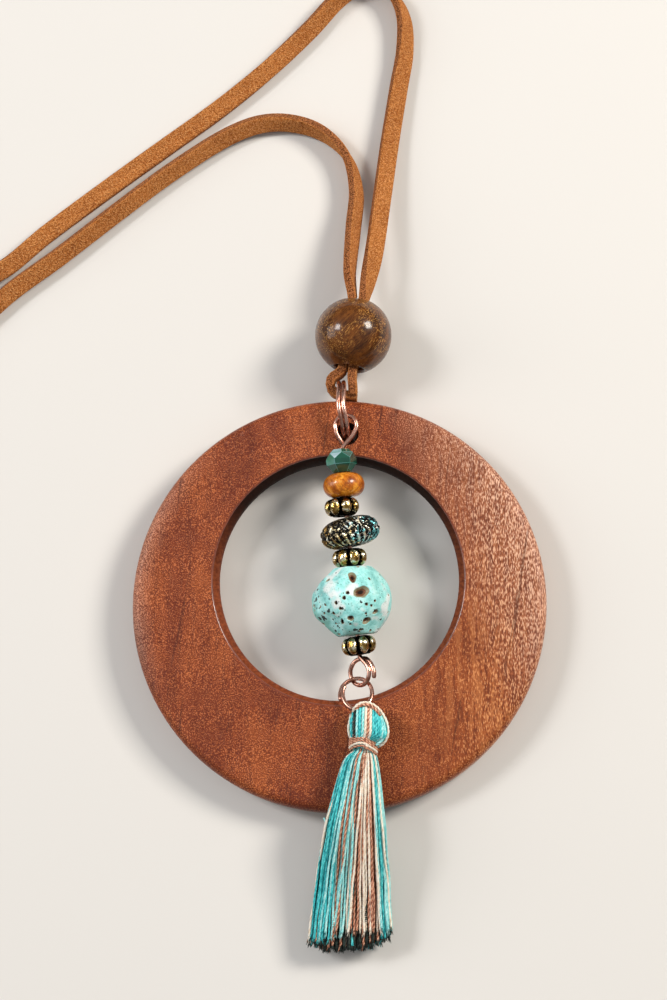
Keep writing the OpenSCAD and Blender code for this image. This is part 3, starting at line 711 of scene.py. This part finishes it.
def make_ring():
    """Drilled wooden ring, drawn by rays from the opening's middle."""
    profile = ring_profile()
    wall = {i for i, (kind, r, _) in enumerate(profile) if kind == "in" and r <= LIP_R}
    edge = {i for i, (kind, r, _) in enumerate(profile) if kind == "in" and r >= LIP_R}
    rings = []
    for turn in full_turn(480):
        ux, uy = cos(turn), sin(turn)

        def to_outer(radius):
            return -OPENING_UP * uy + sqrt(radius ** 2 - (OPENING_UP * ux) ** 2)

        inner = LIP_R + EDGE_ROUND
        outer = to_outer(RING_R - RING_ROUND)
        row = []
        for kind, r, z in profile:
            reach = r if kind == "in" else to_outer(r) if kind == "out" else inner + (outer - inner) * r
            row.append((reach * ux, OPENING_UP + reach * uy, z))
        rings.append(row)
    solid = Solid()
    solid.add_rings(on_ring(rings), joined=True)
    count = len(profile)
    strips = [{k, (k + 1) % count} for k in range(count)]
    solid.paints = [1 if s <= wall else 2 if s <= edge else 0 for s in strips] * len(rings)
    cutter = Solid()
    cutter_rings = []
    for z, r in ((3.2, 2.3), (2.5, 1.85), (2.2, 1.6), (1.8, 1.55),
                 (-1.8, 1.55), (-2.2, 1.6), (-2.5, 1.85), (-3.2, 2.3)):
        cutter_rings.append([(HOLE_X + r * cos(a), HOLE_Y + r * sin(a), z) for a in full_turn(48)])
    shaded_wall_paint = wall_paint()
    cutter.add_rings(on_ring(cutter_rings))
    hole = cutter.make("hole_cutter", [shaded_wall_paint])
    solid.place("ring_wood", [ring_paint(), shaded_wall_paint, edge_paint()], "ring_wood", "pendant_ring", 40, hole)


make_ring()


# Copper wires.
def wire_piece(name, line, radius, node):
    """A round copper wire with soft cut ends."""
    solid = Solid()
    solid.add_rings(tube_rings(line, round_ends(line, radius), 18), along=run_length(line))
    solid.place(name, [copper], "copper", node, 60)


def make_coil():
    """Double turn of wire through the ring's hole, the upper eye and the lace."""
    radius, pitch, turn = 4.7, 0.76, radians(3.5)
    squeeze, squeezed_over = 0.3, 2.2
    middle = np.array([HOLE_X - radius * sin(turn), 31.04, 3.461 - RING_HALF])
    line = []
    for t in np.linspace(0, 2, 220):
        a = 2 * pi * t - pi / 2
        x = pitch * (t - 1.25)
        y, z = radius * cos(a), radius * sin(a)
        if z > 0:
            x -= squeeze * exp(-((y - 0.2) / squeezed_over) ** 2)
        line.append(middle + [*turned(x, y, turn), z])
    wire_piece("hanging_coil_wire", on_ring(line), 0.35, "hanging_coil")


def eye_points(middle, radius, start, stop, count):
    """Points round an eye in the pin's frame, by angle from up and to the right."""
    return [(middle[0] + radius * sin(radians(a)), 0, middle[1] + radius * cos(radians(a)))
            for a in np.linspace(start, stop, count)]


def make_eye_pin():
    """Headed wire that the beads hang on, with an eye at each end, its tail lying beside it."""
    lower_at, twist = -33.348, radians(42)
    upper_at, upper_r, upper_side, drop, drop_from = 5.6, 1.7, 1.15, 0.15, 1.85
    lower = [(2.0, -0.66, -1.2), (2.15, -0.66, -0.3), (1.85, -0.68, 0.7), (1.2, -0.72, 1.6),
             (0.35, -0.74, 2.04), (-0.6, -0.2, 1.95), (-1.5, 0, 1.45), (-2.25, 0, 0.5), (-2.3, 0, -0.6),
             (-1.6, 0, -1.65), (-0.5, 0, -2.08), (0.6, 0, -1.9), (1.4, 0, -1.15), (1.72, 0, -0.1),
             (1.35, 0, 0.95), (0.6, 0, 1.75), (0.1, 0, 2.35)]
    lower = [(x * cos(twist) - y * sin(twist), -x * sin(twist) - y * cos(twist), z + lower_at)
             for x, y, z in lower]
    upper = [(0.62, 0, 2.5), (1.25, 0, 3.1), (2.1, 0, 4.0)]
    upper += eye_points((upper_side, upper_at), upper_r, 105, -100, 12)
    upper += [(-0.35, 0.15, 4.3), (0.05, 0.45, 3.5), (0.4, 0.72, 2.75)]
    upper = [(x, y + drop * (z - drop_from), z) for x, y, z in upper]
    line = lower + [(0, 0, lower_at + 2.95)]
    line += [(0, 0, z) for z in np.linspace(-28, 0.8, 14)] + [(0.2, 0, 1.9)] + upper
    wire_piece("eye_pin_wire", on_pin(smooth_path(line, 0.22), PIN_START), 0.35, "eye_pin")


def make_jump_ring():
    """Split ring between the lower eye and the tassel, its ends side by side at the left."""
    radius, pitch = 2.6, radians(-22.6)
    narrow, longer_below = 0.88, 1.12
    first, parts_from, parts_over, last = 148, 470, 45, 556
    middle = middle_mm("tassel_jump_ring")
    line = []
    for a in np.linspace(first, last, 170):
        out = share_of((a - parts_from) / parts_over)
        out = out * out * (3 - 2 * out)
        r, z = radius + 0.5 * out, -0.56 * out
        a = radians(a)
        x, y = narrow * r * cos(a), r * sin(a)
        y = y * longer_below if y < 0 else y
        line.append(middle + [x, *turned(y, z, pitch)])
    wire_piece("jump_ring_wire", line, 0.33, "tassel_jump_ring")


make_coil()
make_eye_pin()
make_jump_ring()


# Beads on the pin.
def make_green_bead():
    """Crystal rondelle with three rows of facets."""
    sides, bore = 6, 0.6
    rows = [(bore, 1.62, 0.5), (1.3, 1.85, 0.5), (2.1, 1.2, 0.5), (2.44, 0.25, 0), (2.4, -0.6, 0),
            (1.35, -1.85, 0), (bore, -1.62, 0)]
    bm = bmesh.new()
    loops = []
    middle = middle_mm("green_bead")
    for r, z, turn in rows:
        angles = [2 * pi * (k + turn + 0.12) / sides for k in range(sides)]
        loops.append([bm.verts.new(on_pin((r * cos(a), r * sin(a), z), middle) * MM) for a in angles])
    turns = [turn for _, _, turn in rows]
    for above, below, turn_a, turn_b in zip(loops, loops[1:], turns, turns[1:]):
        for k in range(sides):
            k2 = (k + 1) % sides
            if turn_a == turn_b:
                bm.faces.new((above[k], above[k2], below[k2], below[k]))
            else:
                bm.faces.new((above[k], below[k2], below[k]))
                bm.faces.new((above[k], above[k2], below[k2]))
    for k in range(sides):
        k2 = (k + 1) % sides
        bm.faces.new((loops[-1][k], loops[-1][k2], loops[0][k2], loops[0][k]))
    bmesh.ops.recalc_face_normals(bm, faces=bm.faces)
    bmesh.ops.bevel(bm, geom=[e for e in bm.edges if e.calc_face_angle(0) > 0.2], offset=0.035 * MM,
                    segments=1, affect="EDGES")
    mesh = bpy.data.meshes.new("green_bead_glass")
    bm.to_mesh(mesh)
    bm.free()
    rand = random.Random(4)
    tone = mesh.attributes.new("tone", "FLOAT", "FACE")
    for face in mesh.polygons:
        # Painted reflection: large facets facing the upper left, towards the fill light, get lighter
        # tones; the small bevel faces get a fixed lighter tone as a painted highlight.
        painted_reflection = max(0, face.normal.dot(Vector((-0.62, 0.3, 0.72)))) ** 6
        large = face.area > 0.4 * MM ** 2
        tone.data[face.index].value = 0.15 + 0.85 * painted_reflection + rand.uniform(-0.1, 0.14) if large else 0.6
    obj = finish_mesh("green_bead_glass", mesh, [green_paint()])
    mesh.shade_flat()
    place_piece(obj, "green_bead")


def bead_from_profile(name, paint, profile, node, slot, sides=96, swell=None, lean=0):
    """A bored bead turned from its section, which swell may change by turn and height."""
    rings, marks = [], []
    for turn in full_turn(sides):
        row, mark = [], []
        for r, z in profile:
            r, z, m = swell(turn, r, z) if swell else (r, z, 1.0)
            row.append((r * sin(turn), -r * cos(turn), z))
            mark.append(m)
        rings.append(row)
        marks.append(mark)
    solid = Solid()
    solid.add_rings(on_pin(rings, middle_mm(node), lean), joined=True, sides=np.array(marks))
    solid.place(name, [paint], slot, node, 60)


def make_amber_bead():
    """Polished wooden rondelle."""
    half, radius, bore = 1.95, 3.275, 1.05
    arc = np.radians(np.linspace(76, -76, 40))
    profile = [(radius - half + half * cos(a), half * sin(a)) for a in arc]
    profile += [(bore + 0.15, -half + 0.1), (bore, -1.5), (bore, 0), (bore, 1.5),
                (bore + 0.15, half - 0.1)]
    bead_from_profile("amber_bead_wood", amber_paint(), profile, "amber_bead", "amber_wood")


def make_spacer(node, turn_by, lean):
    """Brass spacer: seven balls fused round a hub."""
    lobes, ball, half, bore, hub = 7, 1.12, 1.35, 1.0, 1.55
    centre_r = 2.8 - ball
    section = np.radians(np.linspace(-90, 90, 25))

    def ring_at(turn):
        away = (turn / (2 * pi / lobes) + 0.5) % 1 - 0.5
        side = centre_r * sin(away * 2 * pi / lobes)
        size = sqrt(max(ball ** 2 - side ** 2 * 1.75, 0.1))
        row, mark = [], []
        for a in section:
            row.append((max(hub, centre_r * cos(away * 2 * pi / lobes) + size * cos(a)),
                        size * sin(a) * half / ball))
            mark.append((size / ball) ** 2.5 * (0.35 + 0.65 * cos(a)))
        row += [(hub, half + 0.08), (bore + 0.1, half + 0.08), (bore, half - 0.05), (bore, 0),
                (bore, 0.05 - half), (bore + 0.1, -half - 0.08), (hub, -half - 0.08)]
        return [(r * sin(turn), -r * cos(turn), z) for r, z in row], mark + [0.1] * 7

    pairs = [ring_at(t) for t in full_turn(168)]
    spin = radians(turn_by)
    rings = np.array([row for row, _ in pairs])
    rings[..., 0], rings[..., 1] = turned(rings[..., 0], rings[..., 1], spin)
    solid = Solid()
    solid.add_rings(on_pin(rings, middle_mm(node), lean), joined=True,
                    sides=np.array([mark for _, mark in pairs]))
    solid.place(node + "_brass", [brass], "antique_brass", node, 70)


def make_patina_bead():
    """Blackened bead with a band of small scrolls above slanting ridges."""
    half, end, dome, scrolls = 2.2, 5.15, 2.6, 11
    core = end - 0.45 - dome
    profile = [(core + dome * cos(a), half * sin(a) / sin(radians(80)))
               for a in np.radians(np.linspace(80, -80, 64))]
    profile += [(1.75, -half), (1.3, -half), (1.2, -1.6), (1.2, 0), (1.2, 1.6), (1.3, half), (1.75, half)]

    def swell(turn, r, z):
        if r < 1.8:
            return r, z, 0.0
        step = 2 * pi / scrolls
        k = round(turn / step)
        across = (turn - k * step) * 5 - 0.25 * sin(k * 3.1)
        up = (z - 0.75 - 0.3 * sin(k * 2.4)) * 1.1
        far = hypot(across, up)
        open_side = atan2(up, across) - k * 2.2
        curl = 0.66 + 0.16 * sin(k * 1.7)
        scroll = exp(-((far - curl) / 0.24) ** 2) * (0.5 + 0.5 * cos(open_side))
        scroll = max(scroll, 0.8 * exp(-((far - 0.1) / 0.2) ** 2) * (k % 3 > 0))
        ridge = (0.5 + 0.5 * cos(turn * 26 + z * 1.5)) ** 1.5 * share_of(-z * 1.6 + 0.1)
        relief = max(scroll * share_of(z + 0.6), 0.8 * ridge)
        bumps = 0.2 * noise.noise(Vector((sin(turn) * 7, cos(turn) * 7, z * 3)))
        return r - 0.18 + 0.34 * relief + bumps, z, share_of(relief + bumps)

    bead_from_profile("patina_bead_metal", patina_paint(), profile, "patina_bead", "patina",
                      sides=360, swell=swell, lean=8)


# Flats of the lava bead: turn from the front to the right, height angle and depth.
LAVA_FLATS = [
    (-62, 8, 0.5), (-35, 48, 0.4), (58, 20, 0.45), (48, -38, 0.4), (-48, -36, 0.55), (-90, -44, 0.6),
    (-90, 46, 0.8), (0, 14, 0.3), (120, 10, 0.4), (-130, -12, 0.4), (170, 30, 0.35),
]
# Pits of the lava bead as its front shows them: across, up, half width, half height, slant and depth.
LAVA_PITS = [
    (1.66, 1.66, 1.4, 0.95, 12, 0.75), (0.4, 4.1, 0.66, 1.08, 6, 0.6), (2.27, -3.1, 0.84, 0.72, 0, 0.6),
    (3.8, -1.7, 0.6, 0.46, 10, 0.45), (-0.44, -2.4, 0.56, 0.46, -10, 0.45),
    (-3.3, 4.15, 0.4, 0.42, 0, 0.4), (-0.55, 1.75, 0.32, 0.3, 0, 0.35), (-1.15, 0.95, 0.3, 0.32, 0, 0.35),
    (-2.45, 0.3, 0.26, 0.3, 0, 0.35), (-1.9, -0.65, 0.26, 0.25, 0, 0.35),
    (-3.1, -1.3, 0.27, 0.27, 0, 0.35), (2.25, -0.35, 0.28, 0.24, 0, 0.35),
    (1.2, 5.55, 0.3, 0.28, 0, 0.35), (2.9, 3.6, 0.25, 0.23, 0, 0.3), (-1.85, -2.8, 0.24, 0.5, -12, 0.4),
    (-2.9, -4.85, 0.4, 0.24, 10, 0.35), (-5.3, -2.85, 0.26, 0.32, 30, 0.35),
    (1.05, -4.3, 0.26, 0.25, 0, 0.35), (2.9, -4.7, 0.26, 0.22, 0, 0.35),
    (-4.75, -1.1, 0.3, 0.14, 42, 0.3), (3.0, -0.6, 0.22, 0.2, 0, 0.3), (3.6, 0.1, 0.2, 0.2, 0, 0.3),
    (-5.2, 0.05, 0.22, 0.2, 0, 0.3), (-4.2, 0.2, 0.18, 0.16, 0, 0.3), (2.1, -1.8, 0.2, 0.18, 0, 0.3),
    (-3.2, -3.2, 0.2, 0.2, 0, 0.3), (-0.6, -3.3, 0.2, 0.2, 0, 0.3),
]
# More of them round the back: turn, height angle, half width, half height, slant and depth.
LAVA_BACK_PITS = [
    (110, 25, 1.1, 0.8, 20, 0.6), (-110, 5, 0.9, 1.0, 0, 0.6), (175, -20, 1.2, 0.8, 0, 0.6),
    (140, -30, 0.7, 0.6, 0, 0.5), (-150, 35, 0.6, 0.8, 0, 0.5),
]
LAVA_SEEN_FROM = (2.6, -6.3)


def make_lava_bead():
    """Dyed stone with worn flats, placed pits and many small pores."""
    radius, half, bore = 6.3, 5.35, 1.05
    rand = random.Random(11)
    pits = []
    for across, up, wide, tall, slant, depth in LAVA_PITS:
        turn = degrees(atan2(across, sqrt(radius ** 2 - across ** 2 - up ** 2)))
        pits.append((turn + LAVA_SEEN_FROM[0], degrees(asin(up / radius)) + LAVA_SEEN_FROM[1],
                     wide, tall, slant, depth))
    pits += LAVA_BACK_PITS
    for _ in range(90):
        turn, height = rand.uniform(70, 290), degrees(asin(rand.uniform(-0.8, 0.8)))
        pits.append((turn, height, 0.2, 0.2 * rand.uniform(0.8, 1.2), 0, 0.3))
    top = acos(bore / radius * 1.25)
    heights = np.linspace(top, -top, 180)
    turns = np.linspace(-pi, pi, 430, endpoint=False)
    turns = turns - 0.4 * np.sin(turns)
    grid_t, grid_h = np.meshgrid(turns, heights, indexing="ij")
    level = np.cos(grid_h)
    way = np.stack([np.sin(grid_t) * level, -np.cos(grid_t) * level, np.sin(grid_h)], -1)

    def direction(turn, height):
        t, h = radians(turn), radians(height)
        return np.array([sin(t) * cos(h), -cos(t) * cos(h), sin(h)])

    reach = np.full(grid_t.shape, radius)
    soft = 0.08
    flats = [(direction(turn, height), radius - depth) for turn, height, depth in LAVA_FLATS]
    for out, far in flats + [((0, 0, 1), half), ((0, 0, -1), half)]:
        flat = far / np.clip(way @ out, 0.05, 1)
        reach = reach - soft * np.log1p(np.exp(np.clip((reach - flat) / soft, -40, 40)))
    wobble = np.array([noise.noise(Vector(w) * 2.1) * 0.14 + noise.noise(Vector(w) * 5) * 0.05
                       for w in way.reshape(-1, 3)]).reshape(grid_t.shape)
    reach = reach + wobble - 0.05
    dark = np.zeros(grid_t.shape)
    for turn, height, wide, tall, slant, depth in pits:
        d = direction(turn, height)
        right = np.array([cos(radians(turn)), sin(radians(turn)), 0])
        up = np.cross(d, right)
        x, y = turned(way @ right * radius, way @ up * radius, -radians(slant))
        around = np.arctan2(y, x)
        uneven = 1 + 0.05 * np.sin(3 * around + turn) + 0.03 * np.sin(5 * around + height)
        inside = np.where(way @ d > 0.3, 1 - np.sqrt((x / wide) ** 2 + (y / tall) ** 2) / uneven, -1)
        bowl = np.clip(inside * 2.6, 0, 1) ** 0.7
        reach = reach - depth * bowl
        # Painted shade: the pit mark grows towards each pit's upper side and fills the small pits, where
        # the paint turns darkest.
        deep = 1.8 if wide < 0.33 else 0.68 + 0.5 * np.clip(inside - 0.25 + 0.25 * y / tall, 0, 0.6)
        dark = np.maximum(dark, np.clip(bowl * deep, 0, 1))
    outer = way * reach[..., None]
    wall = []
    for turn in turns:
        out = np.array([sin(turn), -cos(turn), 0]) * bore
        wall.append([out + [0, 0, z] for z in np.linspace(-half + 0.6, half - 0.6, 6)])
    rings = np.concatenate([outer, np.array(wall)], 1)
    marks = np.concatenate([dark, np.ones((len(turns), 6))], 1)
    solid = Solid()
    solid.add_rings(on_pin(rings, middle_mm("lava_bead")), joined=True, sides=marks)
    solid.place("lava_bead_stone", [lava_paint()], "lava_stone", "lava_bead")


make_green_bead()
make_amber_bead()
make_spacer("spacer_1", 22, 0)
make_spacer("spacer_2", 23, 0)
make_spacer("spacer_3", 24, 4)
make_patina_bead()
make_lava_bead()


# Tassel. Its places are taken from the middle of the neck, under the binding.
NECK = np.array([4.009, -20.354, 7.714])
NECK_R = 1.86
SKIRT_TOP = -1.2
SKIRT_LEN = 29.75
# Sections of the skirt: share of its length, x and z of its middle, width and thickness.
SKIRT = smooth_path([
    (-0.06, 4.01, 7.3, 3.2, 3.1), (0, 4.01, 7.2, 3.5, 3.3), (0.07, 3.5, 7.45, 6, 4.3),
    (0.33, 2.81, 7.4, 9.3, 4.8), (0.5, 2.4, 6.1, 10.9, 4.9), (0.66, 2.14, 4.62, 12.1, 4.8),
    (0.85, 1.85, 3.2, 13.2, 4.7), (1, 1.61, 2.5, 14, 4.6), (1.06, 1.55, 2.4, 14.2, 4.6),
], 0.02)
FRONT_ORDER = "ctttttttabaaacabbbcbcbbbcataaa"
FRAY_RADII = np.array([0.1, 0.08, 0.03])
# Threads lying over the others: colour, where they start and end across, and how far they reach.
OVER_THREADS = [
    ("c", -0.9, -0.985, 0.95), ("a", 0.02, -0.42, 0.9), ("a", -0.35, -0.6, 0.93), ("c", 0.2, -0.02, 0.93),
    ("c", 0.3, 0.33, 0.925), ("c", 0.5, 0.47, 0.92), ("c", 0.72, 0.7, 0.915), ("a", 0.95, 0.9, 0.915),
    ("t", -0.75, -0.82, 0.96), ("b", -0.15, -0.33, 0.92), ("c", 0.9, 0.94, 0.9), ("a", -0.5, -0.72, 0.95),
]


def add_thread(solid, line, radius, key, pitch, pinch, start=0.0, sides=8):
    """A two-ply thread along a line, that twists once round in each pitch."""
    reach = run_length(line)
    rings = tube_rings(line, radius, sides, reach / pitch + start, pinch)
    solid.add_rings(rings, paint=THREAD_KEYS.index(key), along=reach)


def skirt_thread(solid, rand, across, side, depth, key, stop, drift=0.0):
    """One thread of the skirt and its frayed tip, at a place across, front or back and in depth."""
    share = np.linspace(-0.05, stop, 96)
    x, wide, z, thick = (np.interp(share, SKIRT[:, 0], SKIRT[:, c]) for c in (1, 3, 2, 4))
    grown = np.clip(share, 0, 1)
    r = 0.18 + 0.05 * grown
    phase, sway = rand.uniform(0, 2 * pi), rand.uniform(-1, 1)
    across = across + drift * grown + 0.04 * sway * np.sin(grown * 4 + phase) * grown
    across = np.clip(across + rand.uniform(-0.05, 0.05) * (1 - grown), -0.99, 0.99)
    height = side * depth * np.sqrt(1 - np.abs(across) ** 2.2)
    px = x + (wide / 2 - r) * across + 0.07 * np.sin(share * 26 + phase * 3) * grown
    pz = z + (thick / 2 - r) * height + 0.16 * np.sin(share * 13 + phase * 2) + rand.uniform(-0.16, 0.16)
    pz = np.maximum(pz, r + 0.12)
    line = np.stack([px, NECK[1] + SKIRT_TOP - share * SKIRT_LEN, pz], -1)
    add_thread(solid, line, r, key, 1.9, 0.32 if key == "b" else 0.14, rand.random())
    tip, way = line[-1], unit(line[-1] - line[-4])
    for _ in range(5 if depth >= 1 else 8):
        lean = np.array([rand.uniform(-0.5, 0.5), 0, rand.uniform(-0.3, 0.3)])
        end = tip + (way + lean) * rand.uniform(0.35, 0.9)
        end[2] = max(end[2], 0.16)
        fibre = np.linspace(tip - way * 0.2, end, 3)
        # Most frayed tips of the lower layers take the near-black thread: painted shade.
        fray = key if rand.random() < (0.6 if depth >= 1 else 0.15) else "d"
        solid.add_rings(tube_rings(fibre, FRAY_RADII, 4), paint=THREAD_KEYS.index(fray))


def make_skirt():
    """Two-ply threads in layers; the front ones are cut shorter and the lower ones fray dark. The
    near-black threads of the lower layers and their frays are painted shade.
    """
    rand = random.Random(5)
    front, back = Solid(), Solid()
    count = len(FRONT_ORDER)
    for k, key in enumerate(FRONT_ORDER):
        across = (k + 0.5) / count * 2 - 1
        stop = np.interp(across, (-1, -0.7, -0.4, 0, 0.5, 1), (0.955, 0.975, 0.945, 0.915, 0.91, 0.925))
        skirt_thread(front, rand, across, 1, 1, key, stop + rand.uniform(-0.012, 0.012))
    for key, begin, finish, stop in OVER_THREADS:
        skirt_thread(front, rand, begin, 1, 1.1, key, stop, finish - begin)
    for depth, under in ((0.72, 22), (0.3, 20)):
        for k in range(under):
            across = ((k + 0.5) / under * 2 - 1) * 0.93
            stop = np.interp(across, (-1, -0.5, 0.5, 1), (0.96, 1.0, 0.985, 0.93))
            # Mostly d, the near-black thread: painted shade under the front layer.
            key = rand.choice("tbddd" if depth > 0.5 else "ddddd")
            skirt_thread(front, rand, across, 1, depth, key, stop + rand.uniform(-0.015, 0.01))
    for depth, under in ((0.3, 16), (1, 34)):
        for k in range(under):
            across = ((k + 0.5) / under * 2 - 1) * (0.98 if depth == 1 else 0.9)
            stop = np.interp(across, (-1, -0.5, 0.5, 1), (0.95, 1.0, 0.985, 0.92))
            # The inner back layer is mostly d, the near-black thread: painted shade.
            key = rand.choice("ttacbb" if depth == 1 else "dddt")
            skirt_thread(back, rand, across, -1, depth, key, stop + rand.uniform(-0.02, 0.01))
    loose = [(-3.7, -14.4, 0.2), (-4.6, -13.6, -0.2), (-5.6, -12.4, -1.2), (-6.2, -11.4, -2.3)]
    line = smooth_path(NECK + np.array(loose), 0.3)
    front.add_rings(tube_rings(line, 0.17, 8), paint=THREAD_KEYS.index("a"))
    front.place("tassel_skirt_front", THREADS, "thread", "tassel")
    back.place("tassel_skirt_back", THREADS, "thread", "tassel")


# Strands of the head: colour, place of the fold across and up, then across at the bulge and at the neck.
# A d strand is the near-black thread, painted shade in a gap between the others.
HEAD_STRANDS = [
    ("c", -1.9, 4.3, -2.2, -1.7), ("t", -1.5, 4.6, -1.75, -1.45), ("d", -1.15, 4.8, -1.3, -1.2),
    ("a", -0.7, 5.5, -0.85, -0.85), ("t", -0.25, 5.75, -0.42, -0.5), ("a", 0.2, 5.85, 0.06, -0.1),
    ("c", 0.62, 5.85, 0.5, 0.25), ("b", 1.0, 5.75, 0.86, 0.55), ("c", 1.32, 5.6, 1.25, 0.85),
    ("t", 1.62, 5.4, 1.7, 1.1), ("t", 1.95, 5.2, 2.1, 1.3), ("t", 2.25, 4.95, 2.46, 1.45),
    ("t", 2.5, 4.7, 2.8, 1.55), ("a", 2.75, 4.4, 3.08, 1.62), ("t", 2.95, 4.1, 3.34, 1.66),
    ("t", 3.12, 3.8, 3.55, 1.7),
]
# Strands that lie over the head's edge: colour, then across, up and out from its middle.
HEAD_ARCS = [
    ("c", [(-1.5, 4.7, 0.7), (-1.3, 5.2, 1.1), (-0.5, 5.85, 1.35), (0.4, 6.05, 1.4), (1.3, 5.85, 1.4),
           (2.2, 5.3, 1.4), (3.0, 4.4, 1.35), (3.55, 3.4, 1.25), (3.85, 2.4, 1.15), (3.9, 1.4, 1.1),
           (3.7, 0.6, 0.9), (3.2, -0.1, 0.6), (2.5, -0.6, 0.2)]),
    ("b", [(-1.0, 4.9, 1.1), (-0.4, 5.45, 1.6), (0.4, 5.65, 1.8), (1.2, 5.5, 1.85), (2.0, 4.95, 1.85),
           (2.55, 4.2, 1.75), (2.85, 3.5, 1.2), (2.95, 2.9, 0.4)]),
    ("a", [(2.3, 4.6, 0.4), (2.9, 4.1, 0.6), (3.4, 3.3, 0.7), (3.75, 2.3, 0.65), (3.8, 1.3, 0.6),
           (3.6, 0.5, 0.5), (3.1, -0.1, 0.3), (2.5, -0.5, 0.0), (1.9, -0.7, -0.4)]),
    ("a", [(2.2, 4.6, 1.2), (2.8, 3.8, 1.5), (3.25, 2.8, 1.6), (3.4, 1.7, 1.55), (3.2, 0.7, 1.4),
           (2.7, 0, 1.1), (2.0, -0.5, 0.7)]),
]
HEAD_MIDDLE = (1.0, 0.28)
HEAD_HALF = (3.35, 2.22)


def arch(x):
    """How far the binding and the strands' feet bow up round the neck's front."""
    return -0.17 * (x + 0.4) ** 2


def head_rows(top_x, top_y, mid_x, neck_x, shrink):
    """A strand's way from under the binding, over the jump ring and back under it."""
    deep = HEAD_HALF[1] * shrink * sqrt(max(0.03, 1 - ((mid_x - HEAD_MIDDLE[0]) / HEAD_HALF[0]) ** 2))
    foot_z = sqrt(max(0.1, 1.7 ** 2 - neck_x ** 2)) * shrink
    foot_y = 0.6 + arch(neck_x)
    mid_y = 2.3 - 0.25 * max(0, mid_x)
    top_y -= (1 - shrink) * 2.5
    half = [(neck_x * 0.85, foot_y - 1.5, 0.85 * foot_z), (neck_x, foot_y, foot_z),
            (mid_x * 0.8 + neck_x * 0.2, (foot_y + mid_y) / 2 - 0.1, deep * 0.88 + 0.12 * foot_z),
            (mid_x, mid_y, deep), (mid_x * 0.4 + top_x * 0.6, top_y - 1.1, deep * 0.86),
            (top_x, top_y - 0.25, deep * 0.42)]
    rows = half + [(top_x, top_y, 0)] + [(x, y, -z) for x, y, z in half[::-1]]
    return NECK + np.array(rows) + [0, 0, HEAD_MIDDLE[1]]


def make_head():
    """Strands that loop over the jump ring and gather under the binding."""
    rand = random.Random(8)
    solid = Solid()
    for shrink in (1.0, 0.84, 0.66):
        for key, top_x, top_y, mid_x, neck_x in HEAD_STRANDS:
            if shrink < 1:
                key = rand.choice("ttabc")
                mid_x = HEAD_MIDDLE[0] + (mid_x - HEAD_MIDDLE[0]) * shrink
            line = smooth_path(head_rows(top_x, top_y, mid_x, neck_x, shrink), 0.26)
            add_thread(solid, line, 0.25, key, 1.4, 0.3 if key == "b" else 0.2, rand.random())
    for key, rows in HEAD_ARCS:
        line = smooth_path(NECK + np.array(rows) + [0, 0, HEAD_MIDDLE[1]], 0.26)
        add_thread(solid, line, 0.25, key, 1.4, 0.28)
    solid.place("tassel_head", THREADS, "thread", "tassel")


def make_binding():
    """Thin threads wound round the neck, bowed up at the front."""
    turns, begin, fall = 1.04, 1.1, 0.25
    solid = Solid()
    for key, up, size in (("b", 0.8, 0.2), ("b", 0.42, 0.22), ("b", 0.06, 0.22), ("c", -0.34, 0.22),
                          ("b", -0.76, 0.18)):
        line = []
        for t in np.linspace(0, 1, 70):
            a = 2 * pi * turns * t + begin
            r = NECK_R + size
            x = r * cos(a)
            line.append(NECK + (x, up - fall * (t - 0.5) + arch(x), r * sin(a)))
        add_thread(solid, np.array(line), size, key, 1.3, 0.28, sides=10)
    solid.place("tassel_binding_thread", THREADS, "thread", "tassel_binding")


make_skirt()
make_head()
make_binding()


# Floor and light.
FLOOR_SIDE = 14
LIT_SPOT = Vector((0, 0.02, 0))


def make_floor():
    """A plain pale floor under everything."""
    bpy.ops.mesh.primitive_plane_add(size=FLOOR_SIDE, location=(0, 0, 0))
    floor = bpy.context.object
    floor.name = "floor"
    p = Paint("floor", {"Roughness": 0.9, "Base Color": (0.68, 0.67, 0.65, 1)})
    floor.data.materials.append(p.material)


def make_light(name, way, distance, size, power, colour):
    """A soft square light that faces the pendant."""
    data = bpy.data.lights.new(name, "AREA")
    data.size = size
    data.energy = power
    data.color = colour
    light = bpy.data.objects.new(name, data)
    way = Vector(way).normalized()
    light.location = LIT_SPOT + way * distance
    light.rotation_euler = way.to_track_quat("Z", "Y").to_euler()
    scene.collection.objects.link(light)


def make_world():
    """A pale sky above a dark ground."""
    world = scene.world = bpy.data.worlds.new("world")
    world.use_nodes = True
    nodes, links = world.node_tree.nodes, world.node_tree.links
    height = nodes.new("ShaderNodeSeparateXYZ")
    tones = nodes.new("ShaderNodeValToRGB")
    links.new(nodes.new("ShaderNodeTexCoord").outputs["Generated"], height.inputs[0])
    links.new(height.outputs["Z"], tones.inputs["Fac"])
    links.new(tones.outputs["Color"], nodes["Background"].inputs["Color"])
    low, high = tones.color_ramp.elements
    low.position, low.color = 0.1, (0.12, 0.12, 0.13, 1)
    high.position, high.color = 0.75, (0.88, 0.87, 0.86, 1)
    nodes["Background"].inputs["Strength"].default_value = 0.44


make_floor()
make_light("key", (0.70, 0.353, 0.618), 0.8, 0.24, 6.2, (1.0, 0.93, 0.84))
make_light("fill", (-0.665, 0.263, 0.70), 0.9, 0.22, 3.6, (1.0, 0.98, 0.97))
make_light("rim", (-0.88, 0.1, 0.38), 0.9, 0.45, 2.2, (1.0, 0.96, 0.92))
make_world()
scene.view_settings.view_transform = "Standard"
